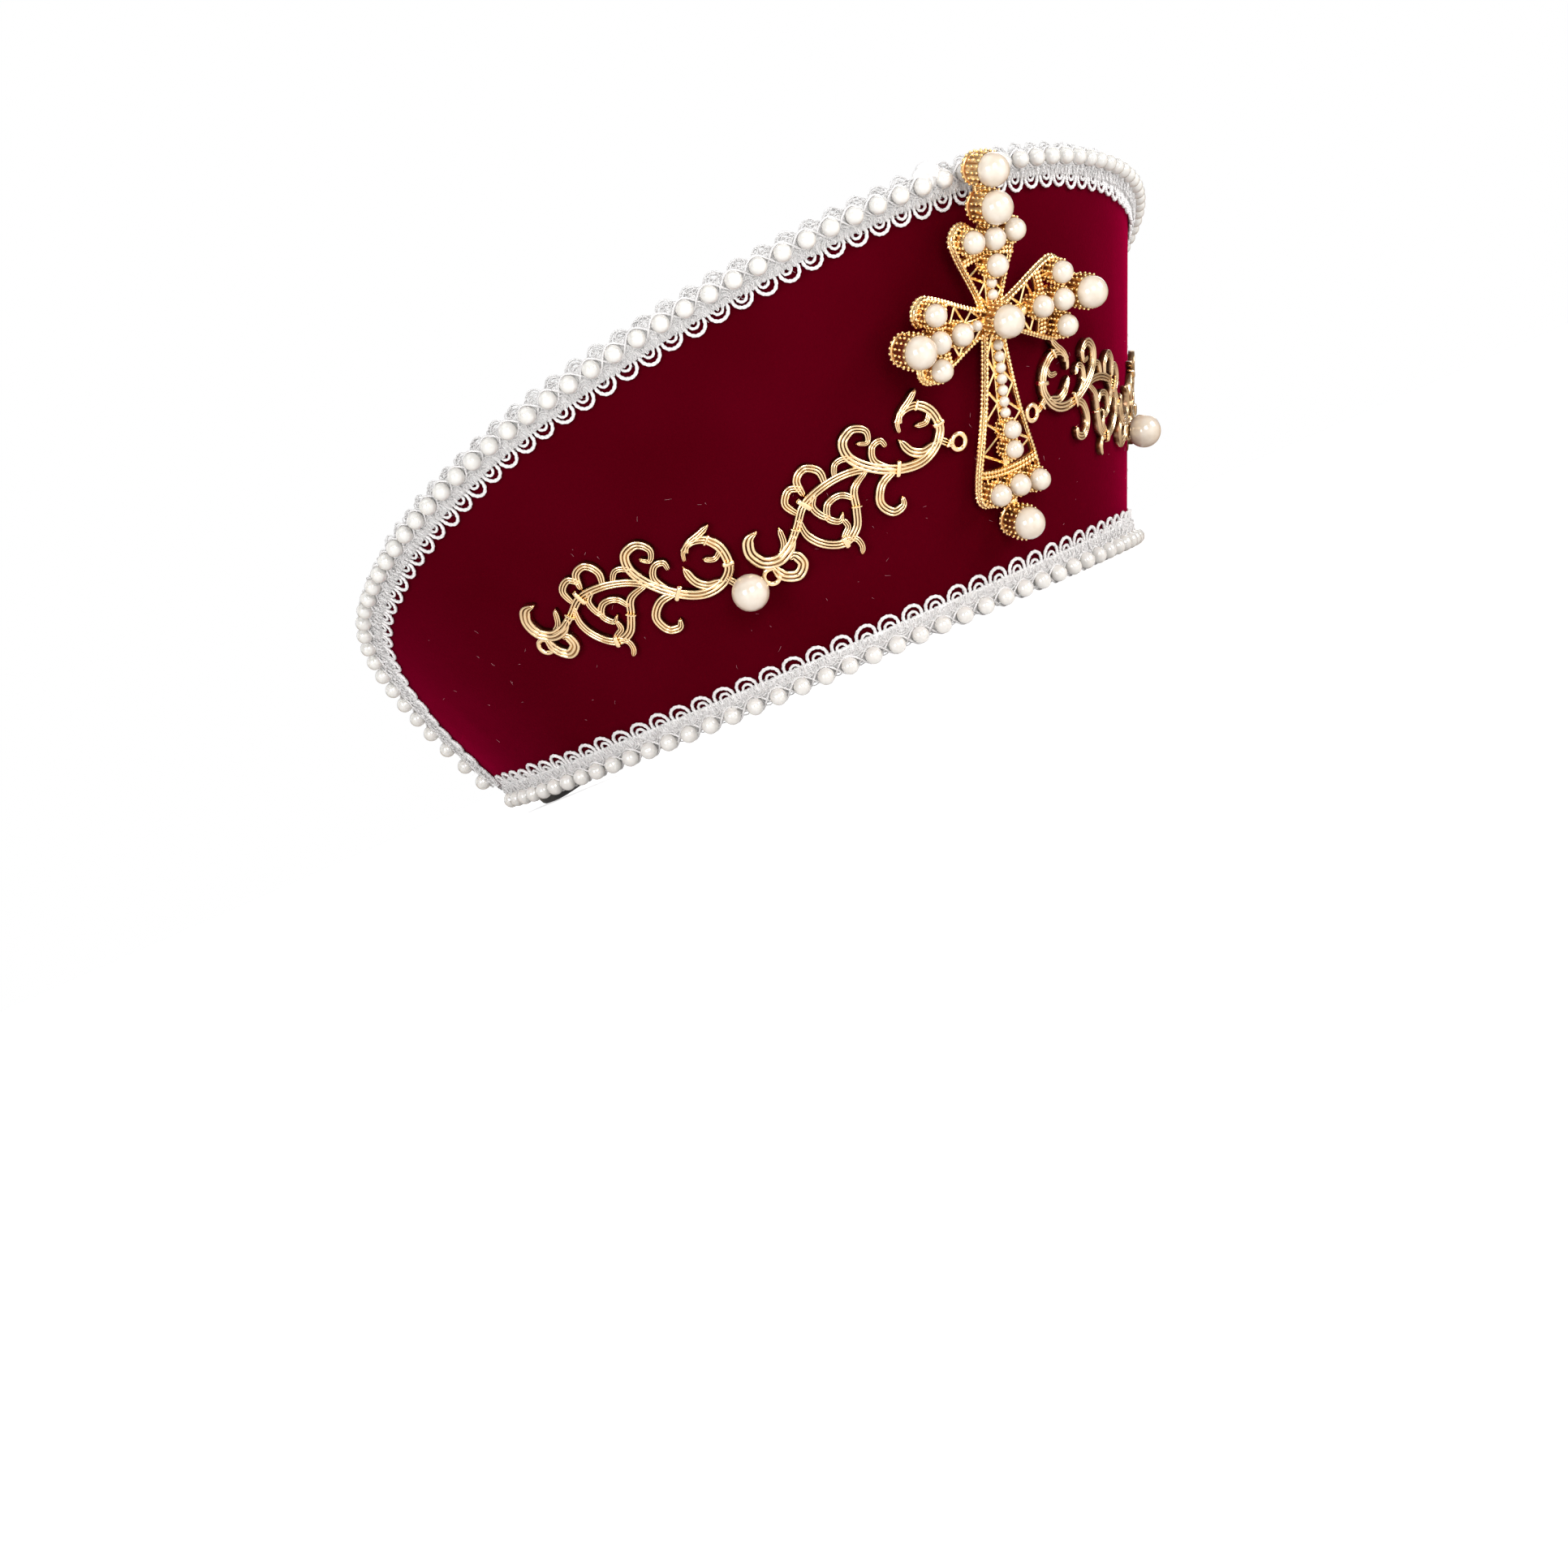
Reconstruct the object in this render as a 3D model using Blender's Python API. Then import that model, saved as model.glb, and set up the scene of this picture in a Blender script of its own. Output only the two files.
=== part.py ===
"""Costume coronet: a flared velvet wall, beaded braid, gold cross and scrolls, and a hairband.

Lengths below are millimetres and angles are degrees; place() turns them into metres. +Z is up, the
front faces -Y, and the origin lies under the middle of the outline. Places on the wall are given by
an angle round the head (0 at the front, + towards +X), a height measured along the slope of the
wall, and a distance out from the velvet.
"""
import bpy
import bmesh
import numpy as np
from mathutils import Vector
from mathutils.geometry import delaunay_2d_cdt

MM = 0.001
GAP = 0.3                       # between pieces that touch
SHARP_FROM = 40.0               # edges that turn more than this are shaded sharp

# Wall: an ellipse in plan at the foot, leaning outwards all the way round
PLAN_HALF_WIDTH = 90.4
PLAN_HALF_DEPTH = 96.3
PLAN_CENTRE_Y = 55.64
FLARE = 23.5
WALL_THICKNESS = 3.0
WALL_STATIONS = 54
WALL_LEVELS = 2

# Upper outline of the wall, right half: angle round the head, height up the slope
RIM_OUTLINE = (
    (0.0, 104.8),
    (12.0, 103.6),
    (24.0, 100.6),
    (40.0, 95.5),
    (56.0, 89.1),
    (72.0, 80.4),
    (84.0, 72.6),
    (91.0, 67.2),
    (96.9, 60.2),
    (102.0, 51.0),
    (106.1, 40.8),
    (109.2, 30.5),
    (109.9, 22.6),
    (109.2, 15.4),
    (107.8, 10.6),
)
TIP_ANGLE = 107.8
FOOT_AT_FRONT = 5.3
FOOT_AT_TIP = 9.0

# Braid: folded over the edge of the wall, with a string of pearls along the corner
BRAID_OUTSIDE = 8.0
BRAID_INSIDE = 6.0
BRAID_THICKNESS = 0.9
BRAID_CHAMFER = 0.9
BRAID_MITRE = 0.8               # growth of the fold for each mm away from the tip
BRAID_SHORTEST = 0.7
TRIM_PEARL = 4.0
TRIM_PEARL_BEYOND = 1.9         # from the wall's edge to the middle of a pearl
TRIM_PEARL_OUT = 2.8            # from the velvet to the middle of a pearl
TOP_STATIONS = 54
BOTTOM_STATIONS = 38
STRING_SAMPLES = 400
TOP_STRING_POINTS = 52
BOTTOM_STRING_POINTS = 40
TOP_STRING_CUT = 3.0            # left free at each end of a string
BOTTOM_STRING_CUT = 5.0

# Hairband: upright band inside the wall, its round ends standing past the tips
BAND_HEIGHT = 9.0
BAND_THICKNESS = 1.6
BAND_IN = 4.7                   # from the velvet to the outer side of the band
BAND_FRONT_Z = 6.5
BAND_DROP_FROM = 50.0
BAND_DROP_TO = 104.0
BAND_END_ANGLE = 117.5
BAND_STATIONS = 36
BAND_END_STEPS = 5
BAND_END_FIRST = 12.0           # angle round the end at which the first ring lies

# Cross: a flat casting that leans a little further out than the wall
CROSS_HEIGHT_ON_WALL = 72.0     # height up the slope of the middle of the cross
CROSS_TILT = 3.2                # extra lean over the wall
CROSS_FOOT_OUT = 0.5            # gap between the lower end and the velvet
CROSS_FOOT_REACH = 54.7
CROSS_PLATE = 1.6
CUP_BELOW = 0.15                # how far a cup's foot stands out under the plate
CUP_FLOOR = 0.6
CUP_SIDES = 8
CUP_WALL = 0.2                  # cup radius over the pearl's radius
LARGE_PEARL = 8.0
MIDDLE_PEARL = 5.5
SMALL_PEARL = 4.5
TINY_PEARL = 2.7
TOP_REACH = 35.8                # distances from the middle to the outer cups
ARM_REACH = 28.0
UPPER_REACH = 27.0
LOWER_REACH = 50.5

# Pearls of the cross that stand in cups: name, diameter, x, y
CUPPED_PEARLS = (
    ("centre", LARGE_PEARL, 0.0, 0.0),
    ("top", LARGE_PEARL, 0.0, TOP_REACH),
    ("upper_end", LARGE_PEARL, 0.0, UPPER_REACH),
    ("left_end", LARGE_PEARL, -ARM_REACH, 0.0),
    ("right_end", LARGE_PEARL, ARM_REACH, 0.0),
    ("lower_end", LARGE_PEARL, 0.0, -LOWER_REACH),
    ("upper_arm", MIDDLE_PEARL, 0.0, 13.3),
    ("upper_trefoil_a", MIDDLE_PEARL, -6.6, 20.2),
    ("upper_trefoil_b", MIDDLE_PEARL, 0.0, 19.6),
    ("upper_trefoil_c", MIDDLE_PEARL, 6.6, 20.2),
    ("left_arm", MIDDLE_PEARL, -13.2, 0.0),
    ("left_trefoil_a", MIDDLE_PEARL, -20.6, -6.6),
    ("left_trefoil_b", MIDDLE_PEARL, -20.2, 0.0),
    ("left_trefoil_c", MIDDLE_PEARL, -20.6, 6.6),
    ("right_arm", MIDDLE_PEARL, 13.2, 0.0),
    ("right_trefoil_a", MIDDLE_PEARL, 20.6, 6.6),
    ("right_trefoil_b", MIDDLE_PEARL, 20.2, 0.0),
    ("right_trefoil_c", MIDDLE_PEARL, 20.6, -6.6),
    ("lower_arm_a", SMALL_PEARL, 0.0, -27.0),
    ("lower_arm_b", SMALL_PEARL, 0.0, -32.0),
    ("lower_trefoil_a", MIDDLE_PEARL, -6.6, -41.6),
    ("lower_trefoil_b", MIDDLE_PEARL, 0.0, -41.0),
    ("lower_trefoil_c", MIDDLE_PEARL, 6.6, -41.6),
)
TINY_SIDES = 10                 # facets round and from pole to pole
TINY_LEVELS = 3
SMALL_SIDES = 10
SMALL_LEVELS = 4
LARGE_SIDES = 12
LARGE_LEVELS = 5
TINY_PEARLS_UP = (6.0, 8.9)     # distances from the middle, on the upper arm
TINY_PEARLS_SIDE = (5.9, 8.8)   # the same on each side arm
TINY_PEARL_FIRST_DOWN = -6.2
TINY_PEARL_STEP_DOWN = -2.8
TINY_PEARLS_DOWN = 7

# Openwork of an arm that points up +Y: half widths of the rim by distance from the middle
SHORT_RIM = ((2.2, 2.0), (9.0, 4.2), (14.5, 6.9), (18.6, 9.2))
LONG_RIM = ((2.2, 2.0), (12.0, 3.2), (21.0, 4.7), (29.0, 6.8), (36.0, 9.0), (40.6, 9.6))
RIM_STROKE = 1.5
SPINE_STROKE = 2.6
LATTICE_STROKE = 0.8
SHORT_LATTICE = (5.4, 9.2, 13.0, 16.8)
LONG_LATTICE = (8.0, 14.0, 20.0, 26.0, 32.0, 37.0)

# Pearl that covers the ring between two scrolls
SIDE_PEARL_START = 73.5         # distance round the wall of that ring, and its height
SIDE_PEARL_HEIGHT = 32.4
SIDE_PEARL = 9.0
SIDE_PEARL_SEAT = 0.75          # part of the radius left above the flat seat

# Scroll: strokes in its own frame, x away from the cross and y up the wall.
# Each row: width at the start, middle and end, then the points along it.
SCROLL_THICKNESS = 1.5
SCROLL_STROKES = (
    (0.7, 2.3, 0.7, ((12.6, 11.4), (11.6, 14.4), (7.0, 14.6), (3.4, 10.6), (3.4, 5.8), (6.7, 2.4),
                     (11.5, 1.4), (17.0, 3.2), (22.4, 7.2), (25.8, 12.2), (25.6, 16.6), (22.2, 18.2),
                     (19.8, 16.0), (21.0, 13.6), (23.0, 14.6))),
    (2.2, 1.6, 0.5, ((10.4, 14.6), (7.4, 15.6), (4.8, 17.2))),
    (1.6, 1.2, 0.5, ((3.8, 10.6), (6.6, 9.2), (8.6, 9.8))),
    (0.6, 1.8, 0.6, ((6.2, 3.0), (9.6, 3.0), (12.6, 5.2), (13.6, 9.0))),
    (0.8, 1.7, 0.8, ((16.6, 2.8), (19.6, 6.0), (21.1, 10.4), (19.0, 12.4), (17.8, 9.9))),
    (0.8, 2.0, 0.9, ((17.4, 3.2), (22.4, 2.4), (24.9, -1.6), (23.2, -5.1), (20.2, -4.8))),
    (1.2, 2.1, 1.0, ((21.0, 6.2), (27.0, 9.4), (34.0, 10.5), (40.6, 9.4), (45.0, 5.8), (49.4, 2.9),
                     (54.0, 3.0), (56.6, 6.6), (54.8, 10.2))),
    (1.2, 1.3, 0.6, ((50.8, 2.8), (49.0, 5.2), (48.8, 8.0))),
    (1.2, 1.5, 1.0, ((25.2, 11.8), (28.6, 13.2), (30.8, 10.4))),
    (1.4, 1.9, 1.2, ((33.8, 10.4), (34.4, 14.8), (38.0, 16.0), (39.0, 11.6))),
    (1.2, 1.8, 1.2, ((39.2, 13.0), (43.2, 13.4), (42.6, 8.4))),
    (1.2, 2.1, 1.2, ((23.6, 7.8), (28.8, 5.4), (30.8, 0.6), (33.0, -3.2), (37.6, -4.2), (41.8, -1.4),
                     (43.8, 3.0), (43.4, 7.4))),
    (1.2, 1.7, 0.8, ((30.2, 3.2), (32.6, 6.0), (36.4, 5.6), (37.0, 2.0), (34.0, 1.6))),
    (1.0, 1.5, 0.6, ((37.6, 10.2), (39.3, 7.2), (38.3, 3.6))),
    (0.6, 1.3, 0.9, ((34.8, 1.4), (35.2, -1.4), (37.4, -3.4))),
    (1.4, 1.4, 0.5, ((36.4, -4.0), (34.3, -5.8), (35.3, -9.2))),
    (1.4, 2.0, 0.7, ((54.2, 2.2), (54.2, -2.6), (49.4, -3.2), (49.2, 0.6))),
    (1.8, 1.8, 1.8, ((2.0, 0.0), (4.8, 3.6))),
)
SCROLL_RINGS = ((0.0, 0.0), (56.8, -0.6))
RING_RADIUS = 1.9               # to the middle of the stroke
RING_STROKE = 1.3
RING_SIDES = 8
PLATE_WELD = 0.02               # corners of a plate nearer than this are one
PLATE_STRAIGHT = 8.0            # a border that turns less than this at a point runs straight past it
# Where the first ring of each scroll lies: side, name, distance round the wall, height, slope
SCROLL_PLACES = (
    (-1, "scroll_left_inner", 12.2, 45.2, -12.5),
    (-1, "scroll_left_outer", SIDE_PEARL_START, SIDE_PEARL_HEIGHT, 8.5),
    (1, "scroll_right_inner", 12.2, 45.2, -12.5),
    (1, "scroll_right_outer", SIDE_PEARL_START, SIDE_PEARL_HEIGHT, 8.5),
)
ARC_HEIGHT = 45.0               # height up the slope at which distances round the wall are measured

COLOURS = {                     # red, green, blue, roughness, metallic
    "velvet": (0.20, 0.002, 0.012, 0.85, 0.0),
    "braid": (0.86, 0.84, 0.82, 0.70, 0.0),
    "pearl": (0.88, 0.83, 0.74, 0.22, 0.0),
    "gold": (0.83, 0.58, 0.25, 0.20, 1.0),
    "black": (0.012, 0.012, 0.013, 0.45, 0.0),
}


def finish(name):
    """The material of that name, made once."""
    material = bpy.data.materials.get(name)
    if material is None:
        red, green, blue, roughness, metallic = COLOURS[name]
        material = bpy.data.materials.new(name)
        material.use_nodes = True
        shader = material.node_tree.nodes["Principled BSDF"]
        shader.inputs["Base Color"].default_value = (red, green, blue, 1.0)
        shader.inputs["Roughness"].default_value = roughness
        shader.inputs["Metallic"].default_value = metallic
    return material


def place(name, points, faces, colour):
    """One object from points in mm, closed and facing outwards."""
    mesh = bpy.data.meshes.new(name)
    mesh.from_pydata((np.asarray(points, float) * MM).tolist(), [], [list(face) for face in faces])
    shell = bmesh.new()
    shell.from_mesh(mesh)
    bmesh.ops.recalc_face_normals(shell, faces=shell.faces)
    shell.to_mesh(mesh)
    shell.free()
    mesh.materials.append(finish(colour))
    mesh.shade_smooth()
    mesh.set_sharp_from_angle(angle=np.radians(SHARP_FROM))
    piece = bpy.data.objects.new(name, mesh)
    bpy.context.scene.collection.objects.link(piece)
    return piece


def outward(angle):
    """The level direction that faces outwards at an angle round the head."""
    along_x = PLAN_HALF_WIDTH * np.cos(angle)
    along_y = PLAN_HALF_DEPTH * np.sin(angle)
    length = np.hypot(along_x, along_y)
    return along_y / length, -along_x / length


def wall_point(angle, height, out):
    """A point by angle round the head (radians), height up the slope and distance off the velvet."""
    angle, height, out = np.broadcast_arrays(angle, height, out)
    lean, rise = np.sin(np.radians(FLARE)), np.cos(np.radians(FLARE))
    normal_x, normal_y = outward(angle)
    reach = height * lean + out * rise
    x = PLAN_HALF_WIDTH * np.sin(angle) + normal_x * reach
    y = PLAN_CENTRE_Y - PLAN_HALF_DEPTH * np.cos(angle) + normal_y * reach
    return np.stack([x, y, height * rise - out * lean], -1)


def smooth_path(rows, steps):
    """Points along a smooth curve through the rows (Catmull-Rom), steps to each span."""
    rows = np.asarray(rows, float)
    ends = np.vstack([2 * rows[0] - rows[1], rows, 2 * rows[-1] - rows[-2]])
    part = (np.arange(steps) / steps)[:, None]
    spans = []
    for a, b, c, d in zip(ends[:-3], ends[1:-2], ends[2:-1], ends[3:]):
        spans.append(0.5 * (2 * b + (c - a) * part + (2 * a - 5 * b + 4 * c - d) * part ** 2
                            + (3 * b - a - 3 * c + d) * part ** 3))
    return np.vstack(spans + [rows[-1:]])


def even_steps(path, count):
    """The same path on the wall, cut into count equal lengths; rows of angle and height."""
    solid = wall_point(path[:, 0], path[:, 1], 0.0)
    travelled = np.concatenate([[0.0], np.cumsum(np.linalg.norm(np.diff(solid, axis=0), axis=1))])
    stops = np.linspace(0.0, travelled[-1], count + 1)
    angle = np.interp(stops, travelled, path[:, 0])
    height = np.interp(stops, travelled, path[:, 1])
    return np.stack([angle, height], -1), stops


def rim_path():
    """Upper outline from the left tip over the front to the right tip."""
    half = np.array(RIM_OUTLINE)
    whole = np.vstack([half[:0:-1] * [-1, 1], half])
    whole[:, 0] = np.radians(whole[:, 0])
    return smooth_path(whole, 8)


def foot_path():
    """Lower outline from the left tip to the right tip; it rises only towards the tips."""
    angle = np.radians(np.linspace(-TIP_ANGLE, TIP_ANGLE, 121))
    rise = (np.abs(angle) / np.radians(TIP_ANGLE)) ** 3
    return np.stack([angle, FOOT_AT_FRONT + (FOOT_AT_TIP - FOOT_AT_FRONT) * rise], -1)


def closed_grid(rings):
    """Faces of a tube made of equal closed rings of points, with its two ends filled."""
    count, sides = rings.shape[:2]
    faces = []
    for i in range(count - 1):
        for j in range(sides):
            k = (j + 1) % sides
            faces.append((i * sides + j, i * sides + k, (i + 1) * sides + k, (i + 1) * sides + j))
    faces.append(tuple(range(sides)))
    faces.append(tuple((count - 1) * sides + j for j in range(sides)))
    return rings.reshape(-1, 3), faces


def build_wall():
    """Board between the two outlines: each station is a ring up the outside and down the inside."""
    top, _ = even_steps(rim_path(), WALL_STATIONS)
    bottom, _ = even_steps(foot_path(), WALL_STATIONS)
    share = np.linspace(0.0, 1.0, WALL_LEVELS + 1)[None, :, None]
    sheet = bottom[:, None] * (1 - share) + top[:, None] * share
    outside = wall_point(sheet[..., 0], sheet[..., 1], 0.0)
    inside = wall_point(sheet[..., 0], sheet[..., 1], -WALL_THICKNESS)
    points, faces = closed_grid(np.concatenate([outside, inside[:, ::-1]], axis=1))
    place("crown_wall", points, faces, "velvet")


def edge_offsets(path, inward):
    """Steps in angle and height that move 1 mm along the wall, away from its edge."""
    ahead = np.gradient(path, axis=0)
    near = wall_point(path[:, 0] + 0.001, path[:, 1], 0.0) - wall_point(path[:, 0] - 0.001, path[:, 1], 0.0)
    radius = np.linalg.norm(near, axis=1) / 0.002
    along = ahead[:, 0] * radius
    up = ahead[:, 1]
    length = np.hypot(along, up)
    return np.stack([inward * up / length / radius, -inward * along / length], -1)


def build_braid(name, path, count, inward):
    """Braid folded over the edge: a hooked section carried along it, mitred at the tips."""
    stations, stops = even_steps(path, count)
    step = edge_offsets(stations, inward)
    from_tip = np.minimum(stops, stops[-1] - stops)
    outside = np.clip(BRAID_MITRE * from_tip, BRAID_SHORTEST, BRAID_OUTSIDE)
    inside = np.clip(BRAID_MITRE * from_tip, BRAID_SHORTEST, BRAID_INSIDE)
    near = GAP
    far = GAP + BRAID_THICKNESS
    back = -WALL_THICKNESS
    section = (                 # distance in from the edge, distance off the velvet
        (outside, near),
        (outside, far),
        (-far + BRAID_CHAMFER, far),
        (-far, far - BRAID_CHAMFER),
        (-far, back - far),
        (inside, back - far),
        (inside, back - near),
        (-near, back - near),
        (-near, near),
    )
    rings = []
    for along, out in section:
        move = step * np.broadcast_to(along, stops.shape)[:, None]
        rings.append(wall_point(stations[:, 0] + move[:, 0], stations[:, 1] + move[:, 1], out))
    points, faces = closed_grid(np.stack(rings, axis=1))
    place(name, points, faces, "braid")


def build_string(name, path, count, inward, cut):
    """String of trim pearls as one round bar along the corner of the braid."""
    fine, _ = even_steps(path, STRING_SAMPLES)
    step = edge_offsets(fine, inward) * TRIM_PEARL_BEYOND
    line = wall_point(fine[:, 0] - step[:, 0], fine[:, 1] - step[:, 1], TRIM_PEARL_OUT)
    length = np.concatenate([[0.0], np.cumsum(np.linalg.norm(np.diff(line, axis=0), axis=1))])
    wanted = np.linspace(cut, length[-1] - cut, count)
    points = np.stack([np.interp(wanted, length, line[:, k]) for k in range(3)], -1)
    curve = bpy.data.curves.new(name, "CURVE")
    curve.dimensions = "3D"
    curve.bevel_depth = TRIM_PEARL / 2 * MM
    curve.bevel_resolution = 2
    curve.use_fill_caps = True
    spline = curve.splines.new("POLY")
    spline.points.add(count - 1)
    spline.points.foreach_set("co", np.hstack([points * MM, np.ones((count, 1))]).ravel())
    curve.materials.append(finish("pearl"))
    string = bpy.data.objects.new(name, curve)
    bpy.context.scene.collection.objects.link(string)


def build_hairband():
    """Upright band inside the wall; its lower edge is level, and each end is rounded in height."""
    end = np.radians(BAND_END_ANGLE)
    dense = np.linspace(-end, end, 401)
    base = wall_point(dense, BAND_HEIGHT / 2, -BAND_IN)
    length = np.concatenate([[0.0], np.cumsum(np.linalg.norm(np.diff(base, axis=0), axis=1))])
    round_part = BAND_HEIGHT / 2
    turn = np.radians(np.linspace(BAND_END_FIRST, 90.0, BAND_END_STEPS))
    first = round_part * (1 - np.cos(turn))
    middle = np.linspace(round_part, length[-1] - round_part, BAND_STATIONS)[1:-1]
    stops = np.concatenate([first, middle, (length[-1] - first)[::-1]])
    angle = np.interp(stops, length, dense)
    from_end = np.minimum(stops, length[-1] - stops)
    half = round_part * np.sqrt(np.clip(1 - (1 - np.minimum(from_end / round_part, 1.0)) ** 2, 0.0, 1.0))
    drop = np.clip((np.abs(np.degrees(angle)) - BAND_DROP_FROM) / (BAND_DROP_TO - BAND_DROP_FROM), 0.0, 1.0)
    foot = BAND_FRONT_Z * (1 - drop * drop * (3 - 2 * drop))
    rings = []
    inner = -BAND_IN - BAND_THICKNESS
    for out, side in ((-BAND_IN, -1), (-BAND_IN, 1), (inner, 1), (inner, -1)):
        level = foot + BAND_HEIGHT / 2 + side * half
        height = (level + out * np.sin(np.radians(FLARE))) / np.cos(np.radians(FLARE))
        rings.append(wall_point(angle, height, out))
    points, faces = closed_grid(np.stack(rings, axis=1))
    place("hairband", points, faces, "black")


def ribbon(points, widths):
    """Quads of a flat stroke: the path moved half a width to each side."""
    ahead = np.gradient(points, axis=0)
    ahead /= np.linalg.norm(ahead, axis=1)[:, None]
    side = np.stack([-ahead[:, 1], ahead[:, 0]], -1) * (widths / 2)[:, None]
    left, right = points + side, points - side
    return [np.array([left[i], right[i], right[i + 1], left[i + 1]]) for i in range(len(points) - 1)]


def stroke(points, start, middle, end):
    """A ribbon through the points, whose width goes from start through middle to end."""
    path = np.asarray(points, float)
    travelled = np.concatenate([[0.0], np.cumsum(np.linalg.norm(np.diff(path, axis=0), axis=1))])
    share = travelled / travelled[-1]
    widths = np.interp(share, (0.0, 0.18, 0.5, 0.82, 1.0), (start, middle * 0.9, middle, middle * 0.9, end))
    return ribbon(path, widths)


def ring(centre, radius, width, sides):
    """A round eye as a closed ribbon."""
    turn = np.arange(sides) * 2 * np.pi / sides
    unit = np.stack([np.cos(turn), np.sin(turn)], -1)
    outer = np.array(centre) + unit * (radius + width / 2)
    inner = np.array(centre) + unit * (radius - width / 2)
    return [np.array([outer[i - 1], outer[i], inner[i], inner[i - 1]]) for i in range(sides)]


def cut_plate(quads):
    """Outline of overlapping flat pieces as one pierced sheet: its points and triangles."""
    corners = [Vector(corner) for quad in quads for corner in quad]
    faces = [list(range(4 * i, 4 * i + 4)) for i in range(len(quads))]
    found, _, triangles, _, _, owners = delaunay_2d_cdt(corners, [], faces, 0, PLATE_WELD)
    sheet = bmesh.new()
    points = [sheet.verts.new((point.x, point.y, 0.0)) for point in found]
    for face, owner in zip(triangles, owners):
        if owner:
            sheet.faces.new([points[index] for index in face])
    loose = [point for point in sheet.verts if not point.link_faces]
    bmesh.ops.delete(sheet, geom=loose, context="VERTS")
    bmesh.ops.dissolve_limit(sheet, angle_limit=np.radians(PLATE_STRAIGHT), use_dissolve_boundaries=False,
                             verts=sheet.verts, edges=sheet.edges)
    bmesh.ops.triangulate(sheet, faces=sheet.faces)
    sheet.verts.index_update()
    flat = np.array([tuple(point.co)[:2] for point in sheet.verts])
    kept = [tuple(corner.index for corner in face.verts) for face in sheet.faces]
    sheet.free()
    return flat, kept


def thicken(triangles, count):
    """Faces of the sheet given thickness: itself, its copy and the walls round every border."""
    faces = list(triangles)
    faces += [tuple(index + count for index in reversed(face)) for face in triangles]
    edges = {(a, b) for face in triangles for a, b in zip(face, face[1:] + face[:1])}
    for a, b in sorted(edges):
        if (b, a) not in edges:
            faces.append((b, a, a + count, b + count))
    return faces


def used_only(points, faces):
    """Drop points that no face uses."""
    used = sorted({index for face in faces for index in face})
    new = {old: index for index, old in enumerate(used)}
    return points[used], [tuple(new[index] for index in face) for face in faces]


def arc_angle(distance):
    """Angle round the head at a distance round the wall from the front."""
    dense = np.linspace(0.0, np.radians(BAND_END_ANGLE), 600)
    line = wall_point(dense, ARC_HEIGHT, 0.0)
    length = np.concatenate([[0.0], np.cumsum(np.linalg.norm(np.diff(line, axis=0), axis=1))])
    return np.interp(distance, length, dense)


def scroll_spot(side, start, height, slope, local):
    """Angle and height on the wall of points in a scroll's own frame."""
    turn = np.radians(slope)
    distance = start + local[:, 0] * np.cos(turn) - local[:, 1] * np.sin(turn)
    up = height + local[:, 0] * np.sin(turn) + local[:, 1] * np.cos(turn)
    return side * arc_angle(distance), up


def build_scroll(side, name, start, height, slope):
    """Flat stamping bent to the wall: strokes and two eyes cut as one pierced plate."""
    quads = []
    for first, middle, last, points in SCROLL_STROKES:
        quads += stroke(points, first, middle, last)
    for centre in SCROLL_RINGS:
        quads += ring(centre, RING_RADIUS, RING_STROKE, RING_SIDES)
    flat, triangles = cut_plate(quads)
    angle, up = scroll_spot(side, start, height, slope, flat)
    front = wall_point(angle, up, GAP + SCROLL_THICKNESS)
    back = wall_point(angle, up, GAP)
    points, faces = used_only(np.vstack([front, back]), thicken(triangles, len(flat)))
    place(name, points, faces, "gold")


def ball(centre, diameter, sides, levels, keep=1.0):
    """Points and faces of a ball; keep is the part of the radius left above a flat cut below it."""
    tilt = np.linspace(0.0, np.pi - np.arccos(keep), levels + 1)
    turn = np.arange(sides) * 2 * np.pi / sides
    radius = diameter / 2
    rows = tilt[1:] if keep < 1.0 else tilt[1:-1]
    points = [(0.0, 0.0, radius)]
    for angle in rows:
        for around in turn:
            points.append((radius * np.sin(angle) * np.cos(around), radius * np.sin(angle) * np.sin(around),
                           radius * np.cos(angle)))
    faces = [(0, 1 + j, 1 + (j + 1) % sides) for j in range(sides)]
    for i in range(len(rows) - 1):
        for j in range(sides):
            a, b = 1 + i * sides + j, 1 + i * sides + (j + 1) % sides
            faces.append((a, a + sides, b + sides, b))
    last = 1 + (len(rows) - 1) * sides
    if keep < 1.0:
        faces.append(tuple(last + j for j in reversed(range(sides))))
    else:
        points.append((0.0, 0.0, -radius))
        faces += [(last + (j + 1) % sides, last + j, len(points) - 1) for j in range(sides)]
    return np.array(points) + centre, faces


def cup_places(diameter):
    """Height of a pearl's middle over the back of the cross, and the cup's radius and rim."""
    floor_to_middle = (diameter / 2 + GAP) * np.sqrt(2.0)
    middle = CUP_FLOOR + floor_to_middle
    radius = diameter / 2 + CUP_WALL
    return middle, radius, CUP_FLOOR + radius


def cup(x, y, diameter):
    """A round cup whose inside is a cone that carries the pearl."""
    _, radius, rim = cup_places(diameter)
    turn = np.arange(CUP_SIDES) * 2 * np.pi / CUP_SIDES
    circle = np.stack([x + radius * np.cos(turn), y + radius * np.sin(turn)], -1)
    low = np.column_stack([circle, np.full(CUP_SIDES, -CUP_BELOW)])
    high = np.column_stack([circle, np.full(CUP_SIDES, rim)])
    points = np.vstack([low, high, [(x, y, CUP_FLOOR)]])
    faces = [tuple(reversed(range(CUP_SIDES)))]
    for j in range(CUP_SIDES):
        k = (j + 1) % CUP_SIDES
        faces.append((j, k, k + CUP_SIDES, j + CUP_SIDES))
        faces.append((j + CUP_SIDES, k + CUP_SIDES, 2 * CUP_SIDES))
    return points, faces


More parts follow.
